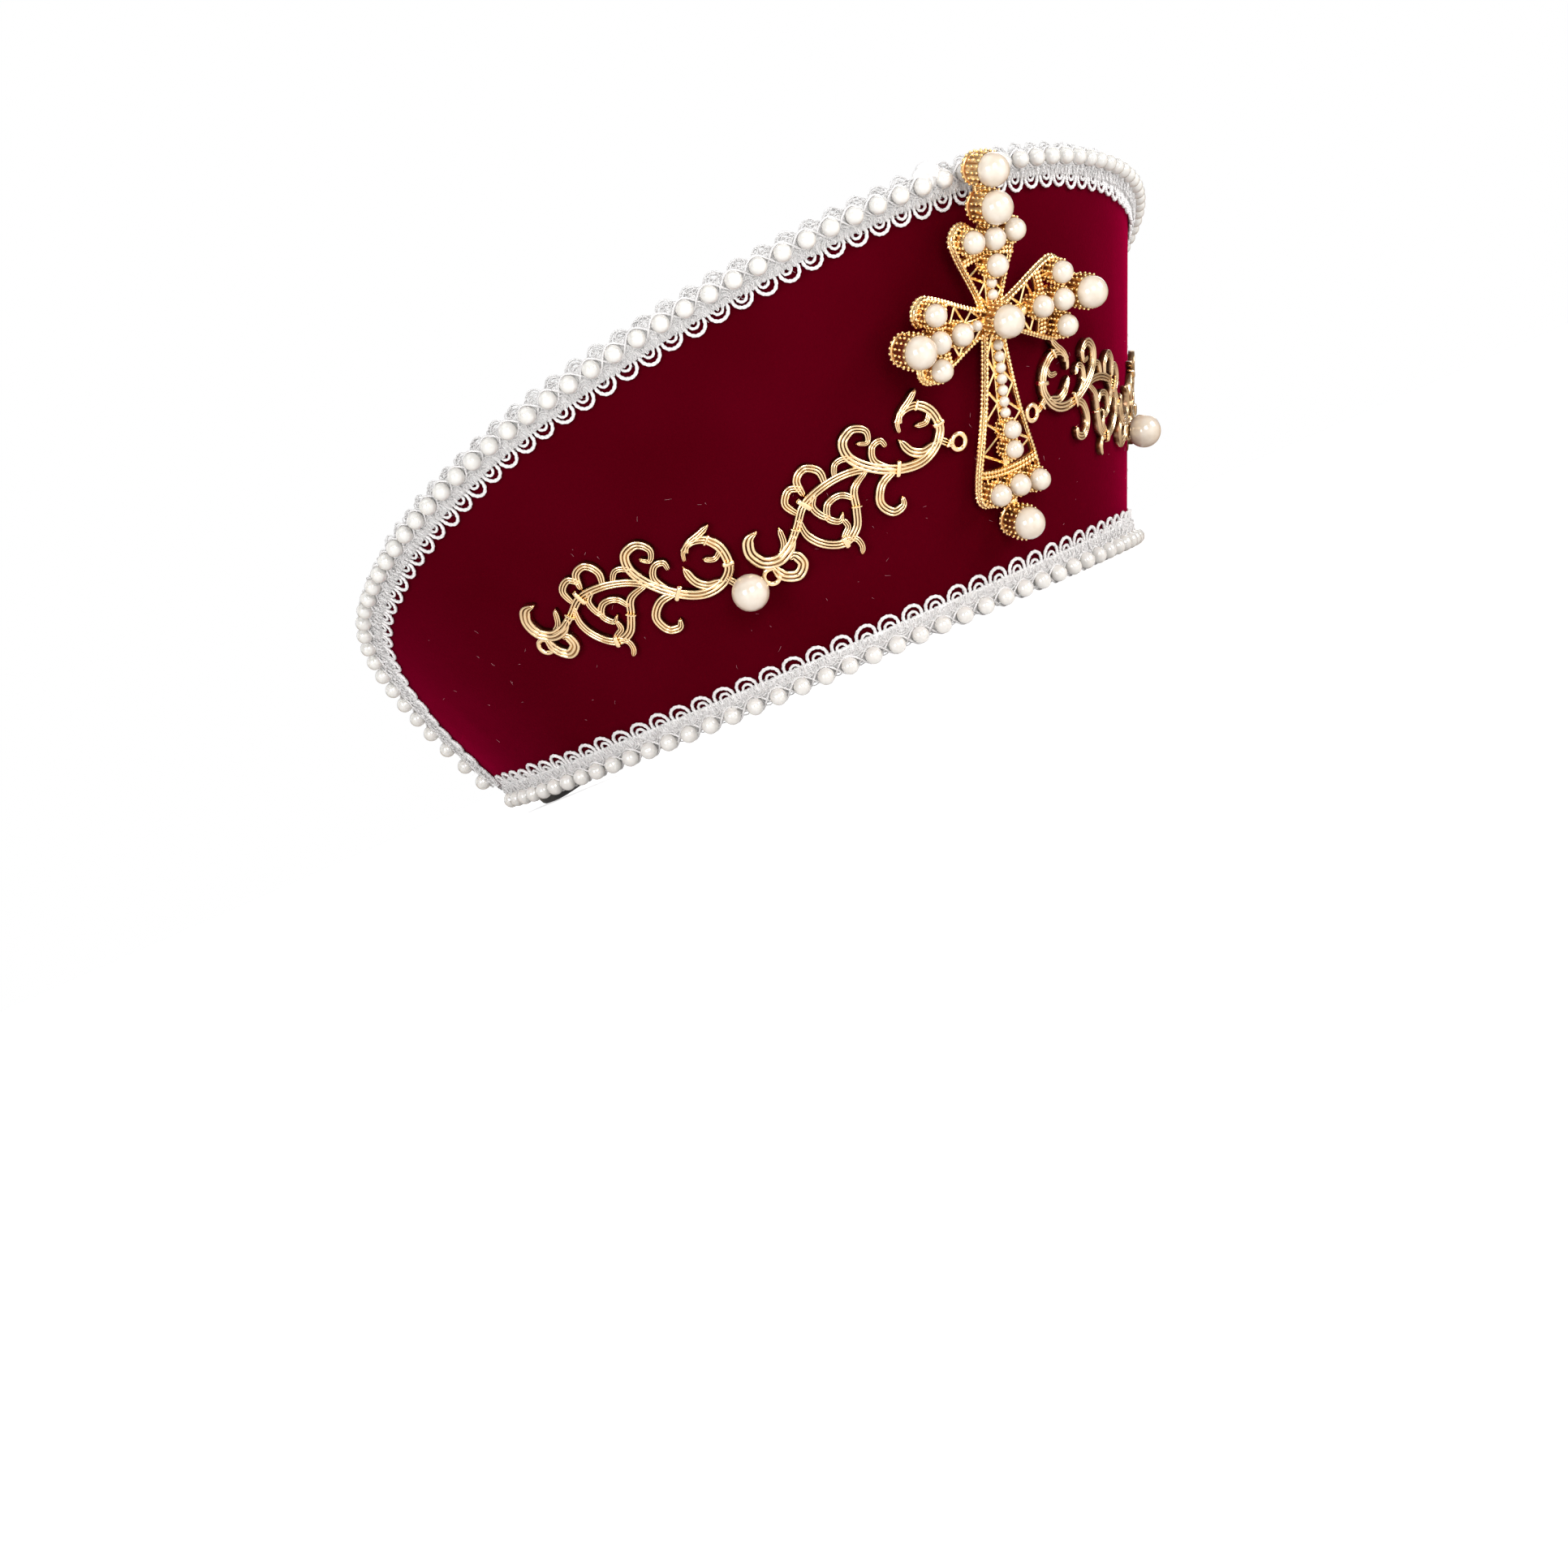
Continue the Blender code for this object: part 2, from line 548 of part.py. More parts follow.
def turned(points, quarter):
    """Points of an arm that points up +Y, turned by quarters of a circle."""
    angle = np.radians(90.0 * quarter)
    across, along = np.cos(angle), np.sin(angle)
    points = np.asarray(points, float)
    return np.stack([points[:, 0] * across - points[:, 1] * along,
                     points[:, 0] * along + points[:, 1] * across], -1)


def arm_strokes(rim, lattice, spine_end, quarter):
    """Openwork of one arm: two rims, a spine and the zigzag wires between them."""
    distance, half = np.array(rim).T
    quads = ribbon(turned([(0.0, 0.0), (0.0, spine_end)], quarter), np.full(2, SPINE_STROKE))
    for side in (-1, 1):
        edge = turned(np.stack([side * half, distance], -1), quarter)
        quads += ribbon(edge, np.full(len(edge), RIM_STROKE))
        wires = []
        for index, reach in enumerate(lattice):
            outer = side * np.interp(reach, distance, half)
            wires.append((outer if index % 2 else 0.0, reach))
        wires = turned(wires, quarter)
        for a, b in zip(wires[:-1], wires[1:]):
            quads += ribbon(np.array([a, b]), np.full(2, LATTICE_STROKE))
    return quads


def cross_frame():
    """Turn of the cross's own axes and the place of its middle, in mm."""
    lean = np.radians(FLARE + CROSS_TILT)
    slope = np.radians(FLARE)
    tilt = np.radians(CROSS_TILT)
    right = np.array([1.0, 0.0, 0.0])
    up = np.array([0.0, -np.sin(lean), np.cos(lean)])
    front = np.array([0.0, -np.cos(lean), -np.sin(lean)])
    on_wall = wall_point(0.0, CROSS_HEIGHT_ON_WALL - CROSS_FOOT_REACH * np.cos(tilt), CROSS_FOOT_OUT)
    middle = on_wall + CROSS_FOOT_REACH * up + CUP_BELOW * np.array([0.0, -np.cos(slope), -np.sin(slope)])
    return np.stack([right, up, front]), middle


def join(parts):
    """Several closed shells as one list of points and faces."""
    points, faces, count = [], [], 0
    for some, theirs in parts:
        points.append(some)
        faces += [tuple(index + count for index in face) for face in theirs]
        count += len(some)
    return np.vstack(points), faces


def build_cross():
    """Pierced plate with its cups and smallest pearls, one soldered piece."""
    quads = []
    for quarter, reach in ((0, TOP_REACH), (1, ARM_REACH), (3, ARM_REACH)):
        quads += arm_strokes(SHORT_RIM, SHORT_LATTICE, reach, quarter)
    quads += arm_strokes(LONG_RIM, LONG_LATTICE, LOWER_REACH, 2)
    flat, triangles = cut_plate(quads)
    front = np.column_stack([flat, np.full(len(flat), CROSS_PLATE)])
    back = np.column_stack([flat, np.zeros(len(flat))])
    points, faces = used_only(np.vstack([front, back]), thicken(triangles, len(flat)))
    axes, middle = cross_frame()
    frame = place("cross_frame", points @ axes + middle, faces, "gold")

    shells = [cup(x, y, diameter) for _, diameter, x, y in CUPPED_PEARLS]
    spots = [(0.0, reach) for reach in TINY_PEARLS_UP]
    spots += [(side * reach, 0.0) for side in (-1, 1) for reach in TINY_PEARLS_SIDE]
    spots += [(0.0, TINY_PEARL_FIRST_DOWN + TINY_PEARL_STEP_DOWN * i) for i in range(TINY_PEARLS_DOWN)]
    for x, y in spots:
        shells.append(ball((x, y, CROSS_PLATE + TINY_PEARL / 4), TINY_PEARL, TINY_SIDES, TINY_LEVELS))
    points, faces = join(shells)
    cups = place("cross_cups", points @ axes + middle, faces, "gold")
    cups.hide_render = True
    cups.display_type = "WIRE"
    union = frame.modifiers.new("cups", "BOOLEAN")
    union.operation = "UNION"
    union.solver = "EXACT"
    union.object = cups
    for name, diameter, x, y in CUPPED_PEARLS:
        middle_height, _, _ = cup_places(diameter)
        sides, levels = (LARGE_SIDES, LARGE_LEVELS) if diameter == LARGE_PEARL else (SMALL_SIDES, SMALL_LEVELS)
        points, faces = ball((x, y, middle_height), diameter, sides, levels)
        place("pearl_" + name, points @ axes + middle, faces, "pearl")


def build_side_pearl(side):
    """Large pearl with a flat seat, over the ring between the two scrolls."""
    angle = side * arc_angle(SIDE_PEARL_START)
    seat = GAP + SCROLL_THICKNESS + GAP
    foot = wall_point(angle, SIDE_PEARL_HEIGHT, 0.0)
    front = wall_point(angle, SIDE_PEARL_HEIGHT, 1.0) - foot
    up = wall_point(angle, SIDE_PEARL_HEIGHT + 1.0, 0.0) - foot
    axes = np.stack([np.cross(up, front), up, front])
    middle = wall_point(angle, SIDE_PEARL_HEIGHT, seat + SIDE_PEARL / 2 * SIDE_PEARL_SEAT)
    points, faces = ball((0.0, 0.0, 0.0), SIDE_PEARL, LARGE_SIDES, LARGE_LEVELS, SIDE_PEARL_SEAT)
    place("side_pearl_right" if side > 0 else "side_pearl_left", points @ axes + middle, faces, "pearl")


for old in list(bpy.data.objects):
    bpy.data.objects.remove(old, do_unlink=True)

build_wall()
build_braid("top_trim", rim_path(), TOP_STATIONS, 1)
build_braid("bottom_trim", foot_path(), BOTTOM_STATIONS, -1)
build_string("top_pearls", rim_path(), TOP_STRING_POINTS, 1, TOP_STRING_CUT)
build_string("bottom_pearls", foot_path(), BOTTOM_STRING_POINTS, -1, BOTTOM_STRING_CUT)
build_hairband()
build_cross()
for placing in SCROLL_PLACES:
    build_scroll(*placing)
for side_sign in (-1, 1):
    build_side_pearl(side_sign)
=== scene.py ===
import bpy
import numpy as np
from mathutils import Matrix, Vector


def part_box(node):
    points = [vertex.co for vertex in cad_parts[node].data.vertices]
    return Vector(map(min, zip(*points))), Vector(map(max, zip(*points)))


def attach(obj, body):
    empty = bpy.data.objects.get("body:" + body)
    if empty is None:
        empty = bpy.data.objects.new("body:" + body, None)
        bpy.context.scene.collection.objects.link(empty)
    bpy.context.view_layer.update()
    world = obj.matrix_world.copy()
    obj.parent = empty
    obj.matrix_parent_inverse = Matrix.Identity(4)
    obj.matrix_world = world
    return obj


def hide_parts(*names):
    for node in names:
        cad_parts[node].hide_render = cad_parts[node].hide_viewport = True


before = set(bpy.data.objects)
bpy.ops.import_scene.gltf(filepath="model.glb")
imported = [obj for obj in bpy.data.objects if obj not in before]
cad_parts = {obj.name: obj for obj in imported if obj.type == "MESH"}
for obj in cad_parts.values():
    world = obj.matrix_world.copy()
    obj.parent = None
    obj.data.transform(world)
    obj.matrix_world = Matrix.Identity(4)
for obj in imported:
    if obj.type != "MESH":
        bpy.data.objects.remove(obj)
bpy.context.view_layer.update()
mm = 0.001

# Camera: its angle to the coronet and where the middle of the wall's foot lands in a 1932 px frame
cameraView = {
    "azimuth": -33.2,
    "elevation": 0.75,  # degrees, which keeps it just above the floor
    "roll": 23.7,  # turn of the picture, degrees
    "distance": 650.0,  # mm from the middle of the foot
    "focalPixels": 2811.0,
    "imageSize": 1932.0,
    "sensor": 36.0,
    "near": 0.005,
    "footPixel": (1016.0, 839.0),
}


def unit(steps):  # the same steps, each 1 long
    return steps / np.linalg.norm(steps, axis=-1, keepdims=True)


def circle(count):  # evenly spaced angles, once round
    return np.arange(count) * 2 * np.pi / count


def spun(x, y, turn):  # a pair turned by an angle: x cos - y sin, x sin + y cos
    return x * np.cos(turn) - y * np.sin(turn), x * np.sin(turn) + y * np.cos(turn)


def circleOf(first, second, turn):  # first cos(turn) + second sin(turn), a ring for each row of the two
    return first[..., None, :] * np.cos(turn)[:, None] + second[..., None, :] * np.sin(turn)[:, None]


def ringAt(x, y, radius, level, turn):  # level rings round x, y, one for each row of radius and level
    radius, level, turn = np.broadcast_arrays(radius, level, turn)
    return np.stack([x + radius * np.cos(turn), y + radius * np.sin(turn), level], -1)


def inScene(name, data):
    thing = bpy.data.objects.new(name, data)
    bpy.context.scene.collection.objects.link(thing)
    return thing


def pictureAxes(view):  # the way the camera looks, then the picture's right and up once it is rolled
    a, e, roll = np.radians([view["azimuth"], view["elevation"], view["roll"]])
    ahead = np.array([-np.sin(a) * np.cos(e), np.cos(a) * np.cos(e), -np.sin(e)])
    right = unit(np.cross(ahead, [0.0, 0.0, 1.0]))
    return ahead, *spun(right, np.cross(right, ahead), roll)


def makeCamera(view, foot):
    ahead, across, above = pictureAxes(view)
    lens = bpy.data.cameras.new("viewCamera")
    lens.sensor_width = view["sensor"]
    lens.lens = view["focalPixels"] / view["imageSize"] * view["sensor"]
    lens.shift_x = 0.5 - view["footPixel"][0] / view["imageSize"]
    lens.shift_y = view["footPixel"][1] / view["imageSize"] - 0.5
    lens.clip_start = view["near"]
    camera = inScene("viewCamera", lens)
    place = Vector((np.array(foot) - ahead * view["distance"]) * mm)
    turn = Matrix(np.stack([across, above, -ahead], 1).tolist()).to_4x4()
    camera.matrix_world = Matrix.Translation(place) @ turn
    bpy.context.scene.camera = camera


# The wall that everything follows: an ellipse in plan that leans outwards, in mm and degrees
wallShape = {
    "halfWidth": 90.4,
    "halfDepth": 96.3,
    "centreY": 55.64,
    "flare": 23.5,
    "thickness": 3.0,
    "tipAngle": 107.8,
    "footAtFront": 5.3,
    "footAtTip": 9.0,
    "rim": ((0.0, 104.8), (12.0, 103.6), (24.0, 100.6), (40.0, 95.5), (56.0, 89.1), (72.0, 80.4),
            (84.0, 72.6), (91.0, 67.2), (96.9, 60.2), (102.0, 51.0), (106.1, 40.8), (109.2, 30.5),
            (109.9, 22.6), (109.2, 15.4), (107.8, 10.6)),  # angle round the head, height up the slope
}
slope = np.radians(wallShape["flare"])
lean, rise = np.sin(slope), np.cos(slope)
gap = 0.3  # kept between pieces that touch


def wallPoint(angle, height, out):
    # Foot ellipse pushed along its level normal as the wall leans, and lifted
    angle, height, out = np.broadcast_arrays(angle, height, out)
    wide, deep = wallShape["halfWidth"], wallShape["halfDepth"]
    normal = unit(np.stack([deep * np.sin(angle), -wide * np.cos(angle)], -1))
    reach = height * lean + out * rise
    x = wide * np.sin(angle) + normal[..., 0] * reach
    y = wallShape["centreY"] - deep * np.cos(angle) + normal[..., 1] * reach
    return np.stack([x, y, height * rise - out * lean], -1)


def wallNormal(angle, height):  # unit step off the velvet
    return wallPoint(angle, height, 1.0) - wallPoint(angle, height, 0.0)


def smoothPath(rows, steps):
    # Catmull-Rom curve through the rows: a cubic in t for each span, with steps points to a span
    rows = np.asarray(rows, float)
    ends = np.vstack([2 * rows[0] - rows[1], rows, 2 * rows[-1] - rows[-2]])
    a, b, c, d = (ends[k:len(ends) - 3 + k, None] for k in range(4))
    t = (np.arange(steps) / steps)[:, None]
    squared, cubed = 2 * a - 5 * b + 4 * c - d, 3 * b - a - 3 * c + d
    curve = 0.5 * (2 * b + (c - a) * t + squared * t ** 2 + cubed * t ** 3)
    return np.vstack([curve.reshape(-1, rows.shape[1]), rows[-1:]])


def travelled(points):  # distance along a line of points
    return np.concatenate([[0.0], np.cumsum(np.linalg.norm(np.diff(points, axis=0), axis=1))])


def cutAt(line, done, stops):  # points of a line at the distances stops; done are those of its own points
    return np.stack([np.interp(stops, done, values) for values in line.T], -1)


def resampled(path, step):  # the same line with points about step apart
    done = travelled(path)
    return cutAt(path, done, np.linspace(0.0, done[-1], max(int(done[-1] / step), 2) + 1))


def roundEnds(stops, length, reach):
    # 1 along a line, and sqrt(1 - (1 - d / reach)^2) at a distance d less than reach from an end
    fromEnd = np.clip(np.minimum(stops, length - stops) / reach, 0.0, 1.0)
    return np.sqrt(1 - (1 - fromEnd) ** 2)


def evenOn(path, count):  # count points of an outline at equal distances, and how far along they are
    done = travelled(wallPoint(path[:, 0], path[:, 1], 0.0))
    stops = np.linspace(0.0, done[-1], count)
    return cutAt(path, done, stops), stops


def rimPath():  # upper outline from the left tip over the front to the right tip
    half = np.array(wallShape["rim"])
    whole = np.vstack([half[:0:-1] * [-1, 1], half])
    whole[:, 0] = np.radians(whole[:, 0])
    return smoothPath(whole, 12)


def footPath():  # lower outline: level in front, rising with the cube of the angle to the tips
    tip = np.radians(wallShape["tipAngle"])
    angle = np.linspace(-tip, tip, 301)
    rise = (wallShape["footAtTip"] - wallShape["footAtFront"]) * np.abs(angle / tip) ** 3
    return np.stack([angle, wallShape["footAtFront"] + rise], -1)


def edgeLine(path, inward):
    # An outline as distances along it and rows of angle, height and the steps in both that move 1 mm inwards
    fine, stops = evenOn(path, 1500)
    angle, height = fine.T
    near = wallPoint(angle + 0.001, height, 0.0) - wallPoint(angle - 0.001, height, 0.0)
    radius = np.linalg.norm(near, axis=1) / 0.002
    along, up = unit(np.gradient(fine, axis=0) * np.stack([radius, np.ones(len(radius))], -1)).T
    rows = (angle, height, inward * up / radius, -inward * along)
    return {"stops": stops, "length": stops[-1], "rows": rows}


def edgeSpot(edge, s, inward, out):
    # Point at a distance along an edge, in from it and off the velvet, and the wall's normal there
    angle, height, stepAngle, stepHeight = (np.interp(s, edge["stops"], row) for row in edge["rows"])
    angle, height = angle + inward * stepAngle, height + inward * stepHeight
    return wallPoint(angle, height, out), wallNormal(angle, height)


# Parts are dictionaries with points, a list of face arrays and values to carry on the points
def gridFaces(rows, columns):  # quads of a grid of points, its columns joined into a ring
    i = np.arange(rows - 1)[:, None] * columns
    j = np.arange(columns)
    k = np.roll(j, -1)
    return np.stack([i + j, i + k, i + columns + k, i + columns + j], -1).reshape(-1, 4)


def tubeFaces(rows, columns, closed):  # a tube of rings, with its ends filled unless they meet
    quads, first = gridFaces(rows, columns), np.arange(columns)
    last = first + (rows - 1) * columns
    if closed:
        return [quads, np.stack([last, np.roll(last, -1), np.roll(first, -1), first], -1)]
    return [quads, first[None], last[None]]


def ringed(points, closed=False, **values):  # a part from rings of points, one after another
    return {"points": points.reshape(-1, 3), "faces": tubeFaces(*points.shape[:2], closed), **values}


def uvGrid(rows, columns):
    u, v = np.meshgrid(rows, np.arange(columns) / columns, indexing="ij")
    return np.stack([u.ravel(), v.ravel()], -1)


def tube(path, normal, radius, sides, closed=False):
    # A circle carried along a path: middle + radius (up cos + side sin), the up leaning from the normal
    looped = np.vstack([path[-1:], path, path[:1]]) if closed else path
    ahead = unit(np.gradient(looped, axis=0))
    side = unit(np.cross(ahead, np.broadcast_to(normal, looped.shape)))
    ring = circleOf(np.cross(side, ahead), side, circle(sides))
    radius = np.atleast_1d(radius)
    radius = radius[:, None] if radius.ndim == 1 else radius
    points = path[:, None] + radius[..., None] * (ring[1:-1] if closed else ring)
    return ringed(points, closed, uv=uvGrid(travelled(path), sides))


def twistedCord(path, normal, radius, sides, turnLength, depth=0.15):
    # Two plies in one tube: the radius follows 1 + depth cos(2 (angle - 2 pi distance / turn length))
    spin = travelled(path)[:, None] * 2 * np.pi / turnLength
    return tube(path, normal, radius * (1 + depth * np.cos(2 * (circle(sides) - spin))), sides)


def flatBar(path, across, level, shade):
    # Rings along a line in a plane: across is how far each point is to its left, level how far over the plane
    ahead = unit(np.gradient(path, axis=0))
    left = np.stack([-ahead[:, 1], ahead[:, 0]], -1)
    shape = (len(path), np.shape(level)[-1])
    across, level, shade = (np.broadcast_to(values, shape) for values in (across, level, shade))
    flat = path[:, None] + left[:, None] * across[..., None]
    return ringed(np.concatenate([flat, level[..., None]], -1), shade=shade.ravel())


def ball(sides, levels, keep=1.0):  # unit ball by latitude and longitude; keep under 1 cuts it flat below
    tilt = np.linspace(0.0, np.pi - np.arccos(keep), levels + 1)[1:]
    if keep == 1.0:
        tilt = tilt[:-1]
    t, a = np.meshgrid(tilt, circle(sides), indexing="ij")
    rows = np.stack([np.sin(t) * np.cos(a), np.sin(t) * np.sin(a), np.cos(t)], -1).reshape(-1, 3)
    points = np.vstack([rows, [[0.0, 0.0, 1.0], [0.0, 0.0, -keep]]])
    j = np.arange(sides)
    k, last = np.roll(j, -1), (len(tilt) - 1) * sides
    top = np.stack([k, j, np.full(sides, len(rows))], -1)
    under = np.stack([last + j, last + k, np.full(sides, len(rows) + 1)], -1)
    return {"points": points, "faces": [gridFaces(len(tilt), sides), top, under], "uv": points[:, :2]}


def moved(part, size, place, axes):  # a part scaled, turned to rows of axes, and put in place
    return dict(part, points=part["points"] * size @ axes + place)


def repeated(faces, number, count):  # the faces of a part of count points, for a number of copies
    shift = (np.arange(number) * count)[:, None, None]
    return [(face[None] + shift).reshape(-1, face.shape[1]) for face in faces]


def scattered(part, size, places):  # copies of a small part at many places, as one part
    points = part["points"] * size + np.asarray(places)[:, None]
    faces = repeated(part["faces"], len(places), len(part["points"]))
    return {"points": points.reshape(-1, 3), "faces": faces, "uv": np.tile(part["uv"], (len(places), 1))}


def signedVolume(part):  # sum over a fan of triangles of a . (b x c), over six
    total = 0.0
    for face in part["faces"]:
        corner = part["points"][face]
        for k in range(1, face.shape[1] - 1):
            total += np.einsum("ij,ij->", corner[:, 0], np.cross(corner[:, k], corner[:, k + 1]))
    return total / 6


def meshOf(name, parts, material):  # one mesh of all the parts, with their uv and shade
    points, faces, shade, uv, count = [], [], [], [], 0
    for part in parts:
        size = len(part["points"])
        order = -1 if signedVolume(part) < 0 else 1
        faces += [face[:, ::order] + count for face in part["faces"]]
        points.append(part["points"])
        shade.append(part.get("shade", np.zeros(size)))
        uv.append(part.get("uv", np.zeros((size, 2))))
        count += size
    mesh = bpy.data.meshes.new(name)
    corners = np.concatenate([face.ravel() for face in faces]).astype(np.int32)
    sizes = np.concatenate([np.full(len(face), face.shape[1]) for face in faces])
    mesh.vertices.add(count)
    mesh.vertices.foreach_set("co", (np.vstack(points) * mm).astype(np.float32).ravel())
    mesh.loops.add(len(corners))
    mesh.loops.foreach_set("vertex_index", corners)
    mesh.polygons.add(len(sizes))
    mesh.polygons.foreach_set("loop_start", (np.cumsum(sizes) - sizes).astype(np.int32))
    mesh.update(calc_edges=True)
    mesh.validate()
    layer = mesh.uv_layers.new(name="along")
    layer.data.foreach_set("uv", np.vstack(uv)[corners].astype(np.float32).ravel())
    depth = mesh.attributes.new("shade", "FLOAT", "POINT")
    depth.data.foreach_set("value", np.concatenate(shade).astype(np.float32))
    mesh.shade_smooth()
    mesh.materials.append(material)
    return mesh


def makePiece(name, parts, material, stands=(), sharp=None):
    mesh = meshOf(name, parts, material)
    if sharp:
        mesh.set_sharp_from_angle(angle=np.radians(sharp))
    piece = inScene(name, mesh)
    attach(piece, "root")
    if stands:
        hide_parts(*stands)


# Nodes: inputs are given by label or number, each as a value or as an output to link
def feed(tree, socket, value):
    if isinstance(value, bpy.types.NodeSocket):
        tree.links.new(value, socket)
    else:
        socket.default_value = (*value, 1.0) if socket.type == "RGBA" else value


def addNode(tree, kind, inputs, **settings):
    node = tree.nodes.new("ShaderNode" + kind)
    for label, value in settings.items():
        setattr(node, label, value)
    for label, value in inputs.items():
        feed(tree, node.inputs[label], value)
    return node


def addMath(tree, operation, *values):
    return addNode(tree, "Math", dict(enumerate(values)), operation=operation).outputs[0]


def addMix(tree, share, first, second):  # colour mix by a share
    return addNode(tree, "Mix", {0: share, 6: first, 7: second}, data_type="RGBA").outputs[2]


def addRamp(tree, value, low, high):  # value stretched from low..high to 0..1 and held there
    return addNode(tree, "MapRange", {"Value": value, "From Min": low, "From Max": high}).outputs[0]


def addNoise(tree, vector, scale, detail=2.0):
    return addNode(tree, "TexNoise", {"Vector": vector, "Scale": scale, "Detail": detail}).outputs["Fac"]


def objectNoise(tree, scale, detail=2.0):  # noise in the piece's own space, its scale in grains to a metre
    return addNoise(tree, addNode(tree, "TexCoord", {}).outputs["Object"], scale, detail)


def addGroup(tree, group, **values):
    return addNode(tree, "Group", values, node_tree=group)


def newGroup(name, inputs, outputs):
    group = bpy.data.node_groups.new(name, "ShaderNodeTree")
    for way, sockets in (("INPUT", inputs), ("OUTPUT", outputs)):
        for label, kind in sockets.items():
            group.interface.new_socket(name=label, in_out=way, socket_type="NodeSocket" + kind)
    return group, group.nodes.new("NodeGroupInput").outputs, group.nodes.new("NodeGroupOutput").inputs


def mottleGroup():  # soft cloudy change between two colours, in object space
    group, given, out = newGroup("softMottle", {"Scale": "Float", "Dark": "Color", "Light": "Color"},
                                 {"Colour": "Color", "Mask": "Float"})
    mask = addRamp(group, objectNoise(group, given["Scale"]), 0.3, 0.7)
    feed(group, out["Colour"], addMix(group, mask, given["Dark"], given["Light"]))
    feed(group, out["Mask"], mask)
    return group


def threadGroup():
    # Slanting threads round a cord or across a band, from the piece's own uv: u in mm, v once round
    group, given, out = newGroup("woundThread", {"PerMm": "Float", "Turns": "Float"},
                                 {"Height": "Float", "HollowShade": "Float"})
    uv = addNode(group, "UVMap", {}, uv_map="along").outputs[0]
    split = addNode(group, "SeparateXYZ", {0: uv}).outputs
    phase = addMath(group, "MULTIPLY", split[0], given["PerMm"])
    phase = addMath(group, "MULTIPLY_ADD", split[1], given["Turns"], phase)
    phase = addMath(group, "MULTIPLY_ADD", addNoise(group, uv, 3.0), 0.5, phase)
    wave = addMath(group, "SINE", addMath(group, "MULTIPLY", phase, 2 * np.pi))
    height = addMath(group, "MULTIPLY_ADD", wave, 0.5, 0.5)
    feed(group, out["Height"], height)
    # Painted shade: the hollows between the threads
    feed(group, out["HollowShade"], addRamp(group, height, 0.35, 0.0))
    return group


def newMaterial(name, settings):
    material = bpy.data.materials.new(name)
    material.use_nodes = True
    shader = material.node_tree.nodes["Principled BSDF"].inputs
    for label, value in settings.items():
        feed(material.node_tree, shader[label], value)
    return material, material.node_tree, shader


def addBump(tree, shader, height, strength, distance):
    bump = addNode(tree, "Bump", {"Height": height, "Strength": strength, "Distance": distance})
    feed(tree, shader["Normal"], bump.outputs[0])


softMottle = mottleGroup()
woundThread = threadGroup()

velvetLook = {
    "dark": (0.056, 0.0001, 0.0030),
    "light": (0.067, 0.0002, 0.0041),
    "napScale": 30.0,
    "pileScale": 1500.0,
    "shader": {"Roughness": 1.0, "Specular IOR Level": 0.0, "Sheen Weight": 0.52, "Sheen Roughness": 0.34,
               "Sheen Tint": (0.9, 0.002, 0.10)},
}


def velvetMaterial(look):
    material, tree, shader = newMaterial("velvetPile", look["shader"])
    nap = addGroup(tree, softMottle, Scale=look["napScale"], Dark=look["dark"], Light=look["light"])
    feed(tree, shader["Base Color"], nap.outputs["Colour"])
    addBump(tree, shader, objectNoise(tree, look["pileScale"], 3.0), 0.3, 0.0003)
    return material


pearlShader = {"Roughness": 0.25, "Specular IOR Level": 0.6, "Coat Weight": 1.0, "Coat Roughness": 0.08,
               "Coat IOR": 1.8, "Subsurface Weight": 0.06, "Subsurface Radius": (0.002, 0.0015, 0.001),
               "Sheen Weight": 0.1, "Sheen Tint": (1.0, 0.84, 0.78)}
# Edge tones are painted shade at the pearls' rims, standing in for the dark surroundings they mirror
creamPearlLook = {"dark": (0.62, 0.535, 0.43), "light": (0.69, 0.62, 0.53), "edge": (0.55, 0.40, 0.27)}
whitePearlLook = {"dark": (0.62, 0.60, 0.565), "light": (0.69, 0.675, 0.645), "edge": (0.60, 0.575, 0.53)}


def pearlMaterial(look, name):  # lustre, with painted shade deepening the tone towards the pearl's edge
    material, tree, shader = newMaterial(name, pearlShader)
    lustre = addGroup(tree, softMottle, Scale=420.0, Dark=look["dark"], Light=look["light"])
    rimShadeFacing = addNode(tree, "LayerWeight", {}).outputs["Facing"]
    # Painted shade: the tone darkens towards the rim as the surface turns away
    share = addMath(tree, "MULTIPLY", addRamp(tree, rimShadeFacing, 0.15, 0.8), 0.75)
    feed(tree, shader["Base Color"], addMix(tree, share, lustre.outputs["Colour"], look["edge"]))
    addBump(tree, shader, objectNoise(tree, 900.0, 1.0), 0.01, 0.0003)
    return material


goldShader = {"Metallic": 1.0, "Coat Weight": 0.15, "Coat Roughness": 0.1}
# Deep is the painted shade colour of the hollows, reddened as if by the velvet mirrored there
paleGoldLook = {"bright": (1.0, 0.745, 0.44), "deep": (0.12, 0.035, 0.012), "rough": 0.06}
warmGoldLook = {"bright": (1.0, 0.73, 0.35), "deep": (0.46, 0.18, 0.05), "rough": 0.13}


def goldMaterial(look, name):  # bright metal with painted shade, deep in its hollows by the shade on the points
    material, tree, shader = newMaterial(name, goldShader)
    hollowShade = addNode(tree, "Attribute", {}, attribute_name="shade").outputs["Fac"]
    wear = addGroup(tree, softMottle, Scale=260.0).outputs["Mask"]
    # Painted shade: hollows take the deep colour, more so where the random wear mottle is high
    share = addRamp(tree, addMath(tree, "MULTIPLY", hollowShade, addMath(tree, "ADD", wear, 0.45)), 0.0, 1.0)
    feed(tree, shader["Base Color"], addMix(tree, share, look["bright"], look["deep"]))
    rough = addMath(tree, "MULTIPLY_ADD", wear, 0.12, look["rough"])
    feed(tree, shader["Roughness"], addMath(tree, "MULTIPLY_ADD", share, 0.2, rough))
    addBump(tree, shader, objectNoise(tree, 700.0), 0.05, 0.0002)
    return material


